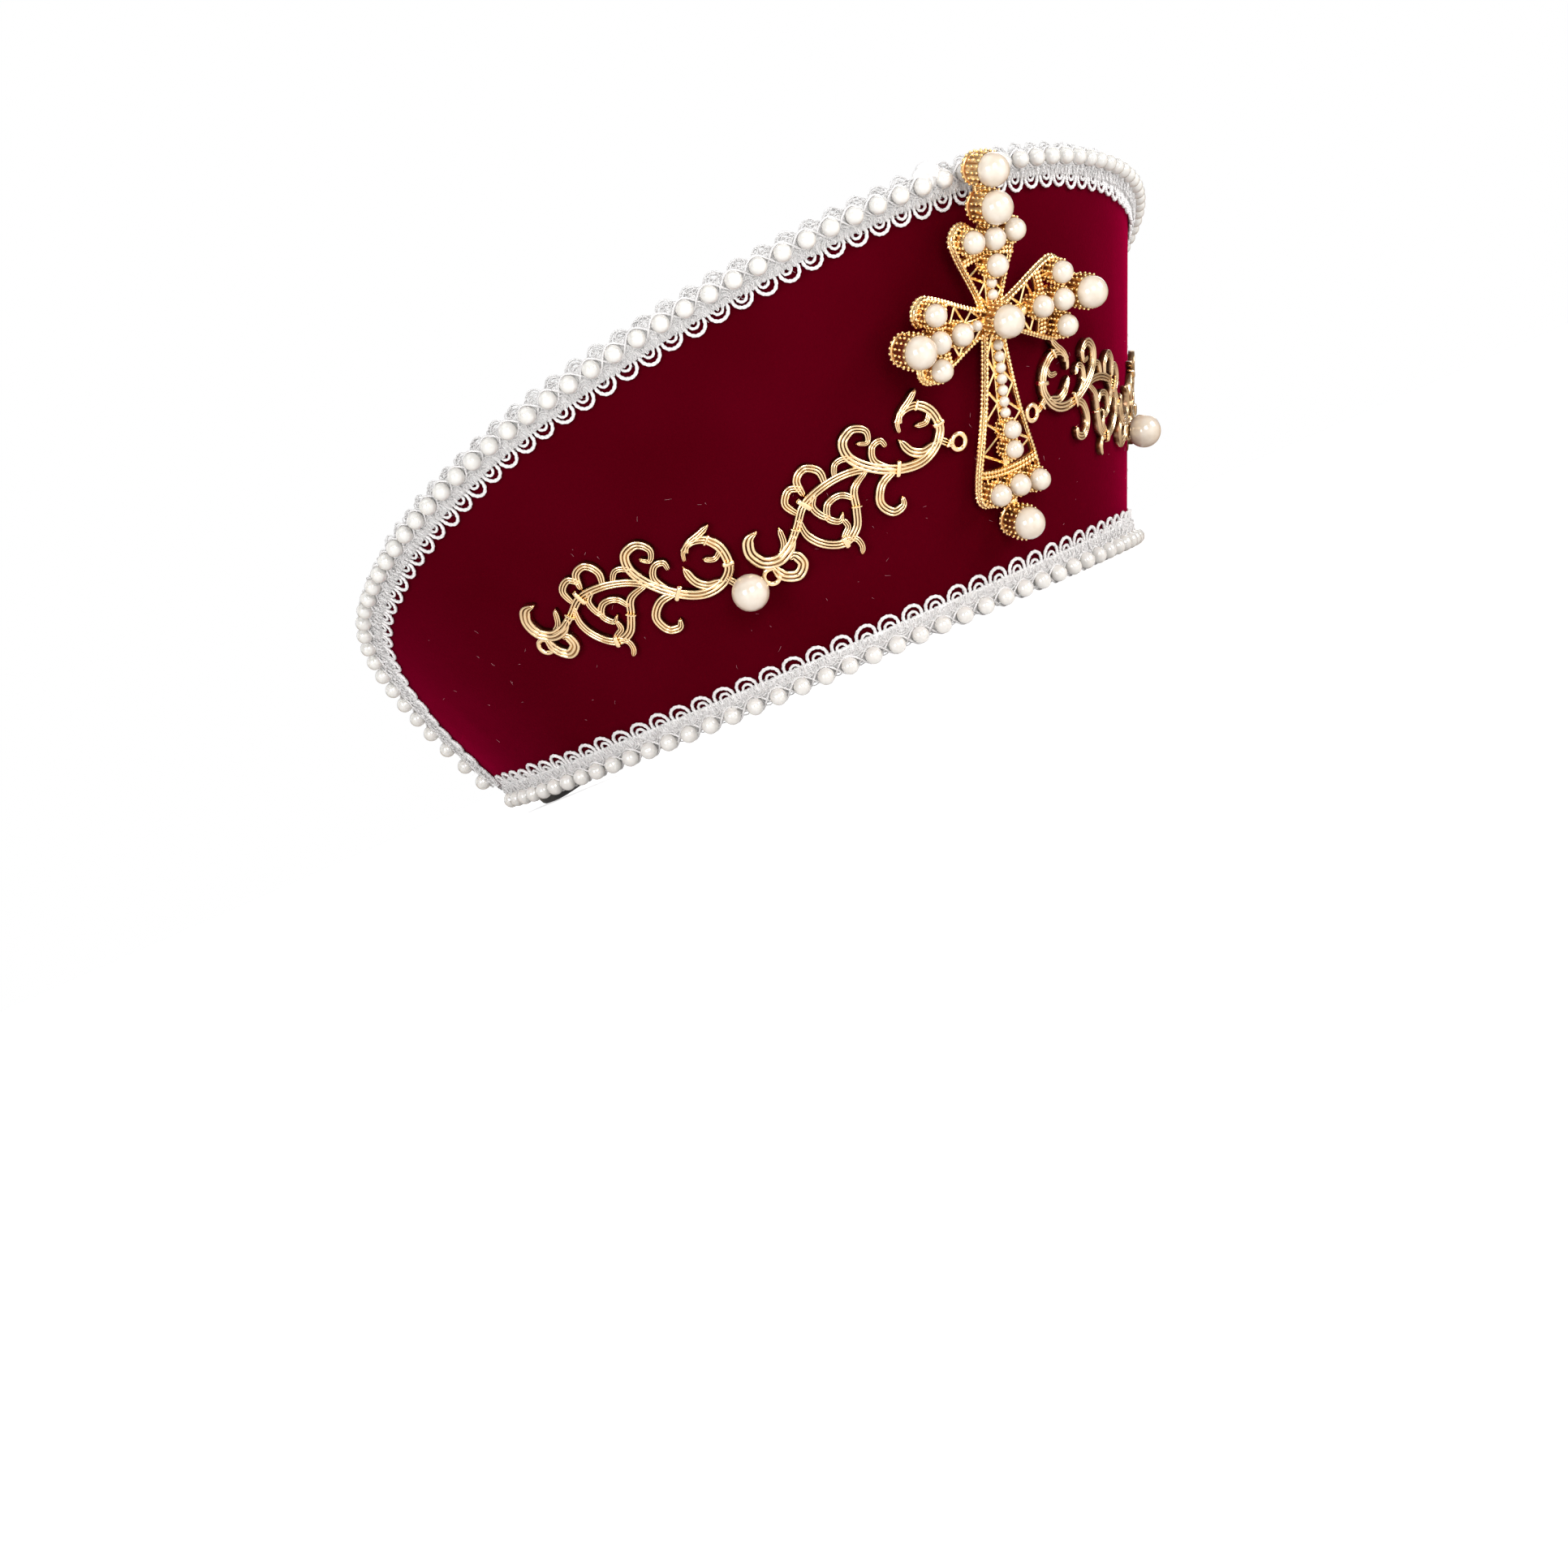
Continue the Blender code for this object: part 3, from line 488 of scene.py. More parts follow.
whiteSheen = {"Sheen Tint": (1.0, 1.0, 1.0)}
# Each look's hollow tone is painted shade in the hollows between the threads
threadLooks = {
    "cordWhite": {"perMm": 1.6, "turns": 2.0, "light": (0.90, 0.885, 0.875), "hollowShade": (0.62, 0.58, 0.57),
                  "bump": 0.6, "cloud": 0.94, "cloudScale": 300.0,
                  "shader": {"Roughness": 0.55, "Sheen Weight": 0.15, **whiteSheen}},
    "satinWhite": {"perMm": 2.3, "turns": 0.0, "light": (0.92, 0.91, 0.90), "hollowShade": (0.66, 0.635, 0.62),
                   "bump": 0.8, "cloud": 0.72, "cloudScale": 850.0,
                   "shader": {"Roughness": 0.38, "Sheen Weight": 0.2, **whiteSheen}},
    "lintThread": {"perMm": 1.0, "turns": 1.0, "light": (0.42, 0.17, 0.19), "hollowShade": (0.3, 0.1, 0.12),
                   "bump": 0.2, "cloud": 0.94, "cloudScale": 300.0, "shader": {"Roughness": 0.8}},
}


def threadMaterial(name, look):
    material, tree, shader = newMaterial(name, look["shader"])
    thread = addGroup(tree, woundThread, PerMm=look["perMm"], Turns=look["turns"]).outputs
    dark = [tone * look["cloud"] for tone in look["light"]]
    cloud = addGroup(tree, softMottle, Scale=look["cloudScale"], Dark=dark, Light=look["light"])
    # Painted shade: the hollows between the threads take the darker hollow tone
    share = addMath(tree, "MULTIPLY", thread["HollowShade"], 0.7)
    feed(tree, shader["Base Color"], addMix(tree, share, cloud.outputs["Colour"], look["hollowShade"]))
    addBump(tree, shader, thread["Height"], look["bump"], 0.0002)
    return material


def bandMaterial():
    material, tree, shader = newMaterial("blackBand", {"Specular IOR Level": 0.3})
    scuff = addGroup(tree, softMottle, Scale=180.0, Dark=(0.008, 0.008, 0.009), Light=(0.016, 0.016, 0.017))
    feed(tree, shader["Base Color"], scuff.outputs["Colour"])
    feed(tree, shader["Roughness"], addMath(tree, "MULTIPLY_ADD", scuff.outputs["Mask"], 0.15, 0.3))
    addBump(tree, shader, objectNoise(tree, 1200.0), 0.06, 0.0002)
    return material


velvetPile = velvetMaterial(velvetLook)
creamPearl = pearlMaterial(creamPearlLook, "creamPearl")
whitePearl = pearlMaterial(whitePearlLook, "whitePearl")
paleGold = goldMaterial(paleGoldLook, "paleGold")
warmGold = goldMaterial(warmGoldLook, "warmGold")
cordWhite, satinWhite, lintThread = (threadMaterial(name, look) for name, look in threadLooks.items())
blackBand = bandMaterial()
print("materials made")

# Velvet wall: a rounded board between the two outlines, barely waved like cloth over card
velvetSettings = {"stations": 260, "levels": 24, "edgeSteps": 4, "wave": 0.12}


def buildVelvet(look):
    # Point (i, v): outline i on the foot and the rim mixed by v; the section goes up the outside,
    # half round the top edge, down the inside and half round the bottom edge
    top, bottom = (evenOn(path, look["stations"])[0][:, None] for path in (rimPath(), footPath()))
    half = wallShape["thickness"] / 2
    up = np.linspace(0.0, 1.0, look["levels"])
    edge = np.cos(np.radians(np.linspace(0.0, 180.0, look["edgeSteps"] + 2)[1:-1]))
    share = np.concatenate([up, edge * 0 + 1, up[::-1], edge * 0])
    out = half * np.concatenate([up * 0, edge - 1, up * 0 - 2, -edge - 1])
    angle, height = np.moveaxis(bottom * (1 - share)[:, None] + top * share[:, None], -1, 0)
    wave = look["wave"] * np.abs(np.sin(angle * 23.0) * np.sin(height * 0.11 + angle * 5.0))
    wave = wave * np.sin(np.pi * share) ** 2 * (out > -half)
    sheet = ringed(wallPoint(angle, height, out - wave))
    makePiece("velvetWall", [sheet], velvetPile, ["crown_wall"])


def hairs(root, way, bend, thick):
    # Thin bent hairs: three rings of three points at 0, 1/2 and 1 of root + t way + t^2 bend
    side = unit(np.cross(way, np.roll(way, 1, axis=1) + 0.013))
    ring = circleOf(side, unit(np.cross(way, side)), circle(3))[:, None]
    t = np.array([0.0, 0.5, 1.0])[:, None]
    line = root[:, None] + t * way[:, None] + t * t * bend[:, None]
    points = line[:, :, None] + ring * (thick * np.array([1.0, 0.8, 0.4]))[:, None, None]
    faces = [gridFaces(3, 3), np.array([[2, 1, 0]]), np.array([[6, 7, 8]])]
    return {"points": points.reshape(-1, 3), "faces": repeated(faces, len(root), 9)}


lintLook = {"count": 130, "seed": 3, "angle": 95.0, "height": (14.0, 62.0), "length": (0.25, 1.5),
            "above": 0.12, "thick": 0.055}


def buildLint(look):  # a few short hairs of lint that lie on the velvet
    random, count = np.random.default_rng(look["seed"]), look["count"]
    angle = np.radians(random.uniform(-look["angle"], look["angle"], count))
    height = random.uniform(*look["height"], count)
    heading = random.uniform(0.0, 2 * np.pi, (count, 1))
    length = random.uniform(*look["length"], (count, 1))
    root = wallPoint(angle, height, look["above"])
    along = unit(wallPoint(angle + 0.01, height, look["above"]) - root)
    up = wallPoint(angle, height + 1.0, look["above"]) - root
    way = length * (along * np.cos(heading) + up * np.sin(heading))
    bend = along * random.normal(size=(count, 1)) * 0.3 * length + wallNormal(angle, height) * 0.1
    makePiece("velvetLint", [hairs(root, way, bend, look["thick"])], lintThread)


buildVelvet(velvetSettings)
buildLint(lintLook)
print("velvet wall made")

# Braid: a gauzy band folded over each edge, nested cord arches on each face, and a row of pearls set in it
braidLook = {
    "pitch": 6.2,  # one pearl and one nest of arches
    "pearl": 4.3,
    "pearlBeyond": 1.9,  # middle of the pearls past the edge, and off the velvet
    "pearlOut": 2.7,
    "pearlFree": 2.0,  # no pearl this near a tip
    "tipFree": 3.0,  # no arches this near a tip
    "twist": 2.4,  # mm to one turn of a cord's two plies
    "wander": 0.16,  # how far a nest strays from its place
    # Arches: radius, where the half circle starts, where it turns under the band, cord radius, steps, sides
    "front": ((2.42, 2.95, 1.7, 0.42, 42, 7), (1.2, 2.45, 1.5, 0.35, 28, 6)),
    "back": ((2.42, 3.35, 2.1, 0.43, 24, 5), (1.2, 2.85, 1.9, 0.36, 18, 5)),
    "standing": ((2.35, 2.7, 1.6, 0.25, 26, 4), (1.62, 2.75, 1.9, 0.2, 20, 4), (0.95, 2.7, 2.0, 0.2, 16, 4)),
    "archOut": 0.62,
    "standingOut": -0.35,
    "standingPhase": 0.4,
    "section": ((2.35, 0.30), (2.45, 0.72), (2.2, 1.12), (1.7, 1.36), (1.1, 1.50), (0.5, 1.55), (-0.2, 1.5),
                (-0.9, 1.35), (-1.7, 1.15), (-2.5, 0.95), (-3.1, 0.75), (-3.45, 0.4), (-3.3, 0.0),
                (-2.7, -0.5), (-1.9, -1.1), (-1.35, -2.2), (-1.15, -3.3), (-0.8, -4.1), (0.2, -4.45),
                (1.6, -4.35), (2.6, -4.15), (2.85, -3.75), (2.7, -3.32), (0.2, -3.3), (-0.3, -2.9),
                (-0.3, -0.1), (0.2, 0.3)),  # distance in from the edge, distance off the velvet
    "stations": 12,  # to a pitch
    "bump": 0.2,
    # Gauze: middle, half width, loops to a pitch, reach, height off the velvet, thread radius
    "gauze": ((1.6, 0.85, 4, 0.6, 1.6, 0.16), (0.8, 0.8, 3, 0.8, 1.85, 0.15), (0.1, 0.8, 2, 0.9, 1.8, 0.17),
              (-3.05, 0.75, 3, 0.75, 0.75, 0.16)),
    "standingGauze": ((-3.9, 1.2, 3, 0.8, -0.2, 0.13), (-3.3, 1.1, 2, 1.1, 0.5, 0.13),
                      (-4.3, 0.7, 4, 0.5, -0.6, 0.12)),
    # Joint of the upper braid left of the cross: its place along, beyond the edge and off the velvet
    "joint": (-9.5, 3.6, 0.9),
    "jointSize": (3.7, 2.9, 1.9),
    "chain": (-1.9, 2.3, 0.5, 0.0, 1.75, 0.3),  # two of these cross between the pearls and pass round them
    "fibres": 16,  # loose fibres to a pitch
}


def archCurve(radius, base, low, steps):
    # One pitch of a running cord, along and inwards: a quarter of a small half circle under the band,
    # a leg up, a half circle, a leg down and the other quarter, cut into equal steps
    half = braidLook["pitch"] / 2
    small = half - radius
    quarter, over = np.linspace(0.0, np.pi / 2, 9), np.linspace(np.pi, 0.0, 25)
    left = np.stack([-half + small * np.sin(quarter), low - small * np.cos(quarter)], -1)
    top = np.stack([radius * np.cos(over), base + radius * np.sin(over)], -1)
    line = np.vstack([left, top, (left * [-1, 1])[::-1]])
    done = travelled(line)
    return cutAt(line, done, np.linspace(0.0, done[-1], steps + 1)[:-1])


def archRow(edge, first, count, arch, out, seed, flip=1.0):
    # The curve repeated for each pearl; nest k strays by a random step times sin^2 along its pitch
    radius, base, low, thick, steps, sides = arch
    along, inward = archCurve(radius, base, low, steps).T
    sway = np.sin(np.pi * np.arange(steps) / steps)[:, None] ** 2
    stray = np.random.default_rng(seed).normal(size=(count, 1, 3)) * braidLook["wander"] * sway
    s = first + braidLook["pitch"] * np.arange(count)[:, None] + along + stray[..., 0]
    inward = inward + stray[..., 1]
    off = out + np.abs(stray[..., 2]) * np.sign(out)
    if flip < 0:  # standing nests lean back as they rise
        off = off - 0.25 * np.clip(inward - low, 0.0, None)
    middle, normal = edgeSpot(edge, s.ravel(), inward.ravel() * flip, off.ravel())
    return twistedCord(middle, normal, thick, sides, braidLook["twist"])


def bandPart(edge, first):
    # Folded section carried along the edge, puffed up by small waves and drawn in at the tips
    stations = int(edge["length"] / braidLook["pitch"] * braidLook["stations"])
    s = np.linspace(0.6, edge["length"] - 0.6, stations)[:, None]
    drawn = np.clip(np.minimum(s, edge["length"] - s) / 4.0, 0.18, 1.0)
    turn = 2 * np.pi * (s - first) / braidLook["pitch"]
    a, b = np.array(braidLook["section"]).T
    wave = np.sin(3 * turn + 2.1 * a) * np.cos(1.7 * turn - 1.9 * a) + 0.6 * np.sin(5.3 * turn + 3.0 * b)
    inward = np.where(a > 0, a * drawn, a) * (1 + 0.05 * np.sin(4 * turn + b))
    inward = inward - 0.12 * (a < -3.0) * np.cos(turn)
    out = b + braidLook["bump"] * wave * np.sign(b) * (a < 2.6) * (np.abs(b) > 0.35)
    points, _ = edgeSpot(edge, s, inward, out)
    return ringed(points, uv=uvGrid(s[:, 0], len(a)))


def gauzePart(edge, first, count, row, phase):
    # Fine curling thread: along = s - reach sin(turn), inwards = middle + rise cos(turn) with a slow change
    middle, loopRise, loops, reach, out, thick = row
    turns = np.linspace(-0.4, count - 0.6, int(count * max(loops, 1.0) * 8))
    turn = 2 * np.pi * (turns * loops + phase)
    slow = 1 + 0.25 * np.sin(turns * 4.3 + phase * 5) if reach else 1.0
    inward = middle + loopRise * np.cos(turn) * slow
    if middle < -3.2:  # drawn in between the standing nests
        inward = inward * (0.62 + 0.38 * np.abs(np.cos(np.pi * (turns - braidLook["standingPhase"]))))
    s = first + braidLook["pitch"] * turns - reach * np.sin(turn)
    path, normal = edgeSpot(edge, s, inward, out + 0.18 * np.sin(turn * 0.5 + turns))
    return tube(path, normal, thick, 4)


def fibrePart(edge, seed):  # loose fibres that stand off the band on both faces
    random = np.random.default_rng(seed)
    count = int(edge["length"] / braidLook["pitch"] * braidLook["fibres"])
    s = random.uniform(1.0, edge["length"] - 1.0, count)
    front = random.random(count) < 0.8
    inward = np.where(front, random.uniform(-3.4, 3.2, count), random.uniform(-1.0, 2.8, count))
    root, normal = edgeSpot(edge, s, inward, np.where(front, 1.1, -4.3))
    way = normal * np.where(front, 0.8, -0.8)[:, None] + random.normal(size=(count, 3)) * 0.7
    way = unit(way) * random.uniform(0.5, 1.7, (count, 1))
    return hairs(root, way, random.normal(size=(count, 3)) * 0.5, 0.05)


def onFloor(part):  # nothing lower than the floor
    return dict(part, points=np.maximum(part["points"], [-np.inf, -np.inf, 0.02]))


def jointPart(edge):
    # Folded end of the braid: a ball with a radius of 1 + 0.12 sin(5 angle + 4 height), stretched
    along, beyond, out = braidLook["joint"]
    s = edge["length"] / 2 + along
    place, normal = edgeSpot(edge, s, -beyond, out)
    ahead = edgeSpot(edge, s + 1.0, -beyond, out)[0] - place
    part = ball(28, 16)
    x, y, z = part["points"].T
    swell = 1 + 0.12 * np.sin(5 * np.arctan2(y, x) + 4 * z)
    axes = np.stack([ahead, np.cross(normal, ahead), normal])
    return moved(part, swell[:, None] * braidLook["jointSize"], place, axes)


def buildBraid(label, path, inward, seed):
    edge = edgeLine(path, inward)
    pitch, length = braidLook["pitch"], edge["length"]
    count = int((length - 2 * braidLook["pearlFree"]) / pitch)
    first = (length - (count - 1) * pitch) / 2
    makePiece(label + "GauzeBand", [onFloor(bandPart(edge, first))], satinWhite, [label + "_trim"])
    skip = int(np.ceil((braidLook["tipFree"] - first) / pitch + 0.5))
    out = braidLook["archOut"]
    faces = (("Front", out, seed), ("Back", -wallShape["thickness"] - out, seed + 10))
    for k, name in enumerate(("OuterArches", "InnerArches")):
        for face, off, number in faces:
            arch = braidLook[face.lower()][k]
            row = archRow(edge, first + skip * pitch, count - 2 * skip, arch, off, number + k)
            makePiece(label + face + name, [row], cordWhite)
    rows = [(row, 0.37 * k) for k, row in enumerate(braidLook["gauze"])]
    rows += [(braidLook["chain"], phase) for phase in (0.0, 0.5)]
    if label == "top":
        begin = first + braidLook["standingPhase"] * pitch
        loops = [archRow(edge, begin, count - 1, arch, braidLook["standingOut"], seed + k + 20, -1.0)
                 for k, arch in enumerate(braidLook["standing"])]
        makePiece("topStandingLoops", loops, satinWhite)
        makePiece("topBraidJoint", [jointPart(edge)], satinWhite)
        rows += [(row, 0.29 * k) for k, row in enumerate(braidLook["standingGauze"])]
    s = first + pitch * np.arange(count)
    places, _ = edgeSpot(edge, s, -braidLook["pearlBeyond"], braidLook["pearlOut"])
    places[:, 2] = np.maximum(places[:, 2], braidLook["pearl"] / 2)
    pearls = scattered(ball(16, 10), braidLook["pearl"] / 2, places)
    makePiece(label + "PearlRow", [pearls], whitePearl, [label + "_pearls"])
    gauze = [onFloor(gauzePart(edge, first, count, *row)) for row in rows]
    makePiece(label + "GauzeThreads", gauze, cordWhite)
    makePiece(label + "Fibres", [onFloor(fibrePart(edge, seed))], cordWhite)
    print(label, "braid made with", count, "pearls")


buildBraid("top", rimPath(), 1, 5)
buildBraid("bottom", footPath(), -1, 9)

# Hairband: a black strip inside the wall, level below, with round ends past the tips
bandLook = {"height": 9.0, "thick": 1.6, "inside": 4.7, "frontZ": 6.5, "dropFrom": 50.0, "dropTo": 104.0,
            "endAngle": 117.5, "stations": 240, "corner": 0.45}


def buildHairband(look):
    # Rounded rectangle carried round the head; its half height shrinks as a circle at each end
    end, radius = np.radians(look["endAngle"]), look["height"] / 2
    corner, thick = look["corner"], look["thick"]
    dense = np.linspace(-end, end, 1201)
    done = travelled(wallPoint(dense, radius, -look["inside"]))
    first = radius * (1 - np.cos(np.radians(np.linspace(4.0, 90.0, 14))))
    between = np.linspace(radius, done[-1] - radius, look["stations"])[1:-1]
    stops = np.concatenate([first, between, (done[-1] - first)[::-1]])
    angle = np.interp(stops, done, dense)[:, None]
    half = radius * roundEnds(stops, done[-1], radius)[:, None]
    drop = np.interp(np.abs(np.degrees(angle)), (look["dropFrom"], look["dropTo"]), (0.0, 1.0))
    foot = look["frontZ"] * (1 - drop * drop * (3 - 2 * drop))
    # Points of the section: up or down, less than the half height, and how far behind the outer face
    section = ((-1, corner, 0.0), (1, corner, 0.0), (1, 0.0, corner), (1, 0.0, thick - corner),
               (1, corner, thick), (-1, corner, thick), (-1, 0.0, thick - corner), (-1, 0.0, corner))
    side, pull, deep = np.array(section).T
    out = -look["inside"] - deep
    level = foot + radius + side * np.maximum(half - pull, 0.02)
    points = wallPoint(angle, (level + out * lean) / rise, out)
    makePiece("smoothHairband", [ringed(points)], blackBand, ["hairband"])


buildHairband(bandLook)
print("hairband made")

# Scrolls: reeded strokes in a scroll's own plane, x away from the cross and y up the wall, bent to the wall.
# Each stroke: width at its start, middle and end, lift over the plate, then its points
scrollLook = {
    "thick": 1.5,
    "groove": 0.42,  # depth, place across and half width of the two grooves, as shares of a stroke
    "grooveAt": 0.37,
    "grooveHalf": 0.13,
    "edgeShade": (0.84, 0.75),  # where the painted shade at a stroke's edge starts, and how dark
    "columns": 23,
    "steps": 6,
    "ring": {"radius": 1.95, "wire": 0.68},
    "rings": ((0.0, 0.0), (56.8, -0.6)),
    "arcHeight": 45.0,
    "inner": {"start": 12.2, "height": 45.2, "slope": -12.5},
    "outer": {"start": 73.5, "height": 32.4, "slope": 8.5},
    "strokes": (
        (0.9, 2.5, 0.9, 0.20, ((12.9, 10.6), (12.3, 13.2), (9.6, 14.9), (6.2, 14.2), (3.6, 10.8),
            (3.4, 5.8), (6.7, 2.4), (11.5, 1.4), (17.0, 3.2), (22.4, 7.2), (25.8, 12.2), (25.6, 16.6),
            (22.2, 18.2), (19.6, 16.0), (20.6, 13.4), (22.9, 14.6))),
        (2.5, 1.7, 0.3, 0.35, ((12.4, 12.8), (10.6, 14.9), (7.6, 16.3), (4.8, 18.0))),
        (1.8, 1.5, 0.4, 0.05, ((4.0, 11.0), (6.0, 9.2), (8.8, 9.9))),
        (0.6, 2.3, 0.4, 0.10, ((5.4, 3.4), (9.6, 3.2), (12.4, 5.2), (13.8, 9.4))),
        (0.9, 1.8, 1.1, 0.10, ((14.6, 2.2), (18.6, 4.4), (21.3, 8.4), (20.2, 11.6), (17.8, 11.9),
            (17.2, 9.6))),
        (0.9, 2.3, 1.0, 0.05, ((17.2, 3.4), (22.0, 2.6), (24.9, -1.2), (23.4, -5.0), (20.3, -5.3),
            (19.3, -3.2))),
        (1.2, 2.1, 1.6, 0.12, ((20.2, 5.8), (27.0, 9.4), (34.0, 10.5), (40.6, 9.4), (45.0, 5.8),
            (49.4, 2.9), (53.0, 2.2))),
        (1.1, 3.1, 0.5, 0.20, ((46.4, 4.9), (49.2, 2.7), (52.8, 1.8), (56.3, 3.4), (57.5, 7.0),
            (55.9, 10.2), (52.9, 10.9))),
        (1.9, 1.6, 0.3, 0.02, ((51.6, 2.7), (49.6, 4.6), (48.4, 8.4))),
        (1.2, 1.6, 1.1, 0.04, ((24.4, 9.6), (26.4, 12.8), (29.4, 13.4), (31.4, 10.6))),
        (1.4, 2.0, 1.2, 0.02, ((33.8, 10.6), (33.4, 14.2), (35.8, 16.8), (38.8, 15.4), (39.4, 11.0))),
        (1.2, 1.9, 1.2, 0.00, ((38.6, 12.8), (41.4, 14.6), (44.0, 12.2), (42.9, 8.2))),
        (1.2, 2.2, 1.2, 0.05, ((23.6, 7.8), (28.6, 5.6), (30.6, 1.2), (33.0, -3.0), (37.4, -4.4),
            (41.8, -1.6), (44.0, 2.8), (43.4, 7.8))),
        (1.2, 1.8, 0.5, 0.03, ((29.8, 3.4), (32.2, 6.2), (35.8, 6.2), (37.6, 3.2), (35.6, 0.9),
            (33.8, 2.3))),
        (1.1, 1.8, 0.5, 0.00, ((36.8, 10.4), (39.1, 8.0), (38.7, 5.0), (37.0, 2.6))),
        (0.6, 1.6, 1.0, 0.00, ((34.9, 1.2), (34.6, -1.4), (36.2, -2.6), (38.2, -4.2))),
        (1.4, 1.6, 0.5, 0.00, ((37.2, -3.9), (34.6, -5.2), (34.2, -7.6), (35.4, -9.6))),
        (1.2, 2.9, 1.0, 0.10, ((55.2, 1.6), (54.4, -2.0), (51.4, -4.1), (48.7, -2.4), (49.3, 0.5),
            (51.0, 0.4))),
        (1.9, 1.9, 1.9, 0.00, ((1.6, 0.2), (3.2, 1.8), (5.0, 3.9))),
    ),
    # Clamps: x, y, direction of the stroke below, length across, width along
    "clamps": ((3.25, 7.2, 92.0, 3.3, 1.1), (17.2, 3.4, 32.0, 4.4, 1.1), (40.4, 9.5, -22.0, 4.6, 1.2),
               (37.2, -4.3, 2.0, 3.4, 1.2), (30.4, 1.6, -65.0, 3.0, 0.6), (45.4, 5.6, -42.0, 3.0, 0.6),
               (6.4, 14.4, 40.0, 3.0, 0.7), (3.0, 1.6, 48.0, 2.6, 0.7)),
}


def strokePart(first, middle, last, lift, points):
    # Reeded bar: across q from -1 to 1 the height is a low arch less two bell-shaped grooves, which are
    # exp(-((|q| - place) / half width)^2); width and height follow a quarter circle at both ends
    path = smoothPath(points, scrollLook["steps"])
    done = travelled(path)
    full = middle * 0.92
    width = np.interp(done / done[-1], (0.0, 0.16, 0.5, 0.84, 1.0), (first, full, middle, full, last))
    tip = np.maximum(roundEnds(done, done[-1], 0.7), 0.063246)[:, None]
    width = width[:, None] * np.maximum(tip, 0.08)
    q = np.linspace(-1.0, 1.0, scrollLook["columns"])
    arch = scrollLook["thick"] * (0.76 + 0.24 * np.sqrt(1 - 0.96 * q ** 4))
    bell = np.exp(-((np.abs(q) - scrollLook["grooveAt"]) / scrollLook["grooveHalf"]) ** 2)
    groove = bell * np.clip(width / 1.6, 0.0, 1.0)
    front = (arch - scrollLook["groove"] * groove) * (0.55 + 0.45 * tip) + lift
    # Painted shade: the grooves and the outer edges of the top are darker, and the foot is fully shaded
    start, dark = scrollLook["edgeShade"]
    edge = dark * np.clip((np.abs(q) - start) / (1 - start), 0.0, 1.0)
    under = np.zeros((len(path), 2))
    return flatBar(path, np.append(q, [1.0, -1.0]) * width / 2, np.hstack([front, under]),
                   np.hstack([np.maximum(groove, edge), under + 1]))


def clampPart(x, y, direction, length, width):
    # Small strap bent over a stroke: an arch across it, carried through a rounded section
    c, s = np.cos(np.radians(direction)), np.sin(np.radians(direction))
    along, across, up = np.array([(c, s, 0.0), (-s, c, 0.0), (0.0, 0.0, 1.0)])
    q = np.linspace(-1.0, 1.0, 13)[:, None]
    top = scrollLook["thick"] + 0.42 - 0.5 * q ** 4 - 0.75 * np.clip(np.abs(q) - 0.86, 0.0, 1.0) / 0.14
    path = np.array([x, y, 0.0]) + across * q * length / 2 + up * top
    return ringed(path[:, None] + circleOf(along * width / 2, up * 0.42, circle(8) + np.pi / 8))


def ringPart(x, y):  # a round eye: wire bent in a circle
    ring = scrollLook["ring"]
    path = ringAt(x, y, ring["radius"], scrollLook["thick"] / 2, circle(40))
    return tube(path, (0.0, 0.0, 1.0), ring["wire"], 12, closed=True)


def arcAngle(distance):  # angle round the head at a distance round the wall from the front
    dense = np.linspace(0.0, np.radians(bandLook["endAngle"]), 1200)
    return np.interp(distance, travelled(wallPoint(dense, scrollLook["arcHeight"], 0.0)), dense)


def bentToWall(part, side, spot):  # flat part turned by its slope, then wrapped round the wall
    x, y, z = part["points"].T
    along, up = spun(x, y, np.radians(spot["slope"]))
    return dict(part, points=wallPoint(side * arcAngle(spot["start"] + along), spot["height"] + up, gap + z))


def buildScrolls(look):
    flat = [strokePart(*row) for row in look["strokes"]]
    flat += [clampPart(*row) for row in look["clamps"]]
    flat += [ringPart(*centre) for centre in look["rings"]]
    for side, hand in ((-1, "left"), (1, "right")):
        for spot in ("inner", "outer"):
            parts = [bentToWall(part, side, look[spot]) for part in flat]
            name, node = hand + spot.capitalize() + "Scroll", f"scroll_{hand}_{spot}"
            makePiece(name, parts, paleGold, [node], 50)
    print("scrolls made")


buildScrolls(scrollLook)

# Cross: flat openwork in its own plane, x right, y up and z out, that leans a little more than the wall
crossLook = {
    "heightOnWall": 72.0,
    "tilt": 3.2,
    "footOut": 0.5,
    "footReach": 54.7,
    "cupBelow": 0.15,
    "cupFloor": 0.6,
    "cupWall": 0.42,
    "cupBelowMiddle": 0.2,  # rim below the pearl's middle, as a share of its radius
    "granule": 0.36,
    "hookX": 6.6,
    "hookY": {"short": 20.4, "long": 41.6},
    "hook": (3.3, -20.0, 142.0),  # radius and angles of the rim round an outer cup
    "plate": 1.6,
    "shortRim": ((2.4, 2.5), (6.0, 3.7), (10.0, 5.5), (14.5, 7.7), (18.2, 9.3), (21.0, 9.8)),
    "longRim": ((2.4, 2.5), (12.0, 3.8), (21.0, 5.3), (29.0, 7.2), (36.0, 9.1), (40.4, 9.9)),
    "rimHalf": 0.45,
    "rimDepth": 1.9,
    "bead": 1.05,
    "shortLattice": (3.9, 6.5, 9.1, 11.6, 14.0),
    "longLattice": (4.8, 8.8, 12.8, 16.6, 20.4, 24.2, 28.0, 31.8, 35.4),
    "latticeWire": 0.36,
    "spineHalf": 1.3,
    "shortBand": 15.0,
    "longBand": 36.4,
    "arms": ((0, "short", 35.8), (1, "short", 28.0), (3, "short", 28.0), (2, "long", 50.5)),
    "tiny": 2.7,
    "tinyUp": (6.0, 8.9),
    "tinySide": (5.9, 8.8),
    "tinyDown": (-6.2, -2.8, 7),
}
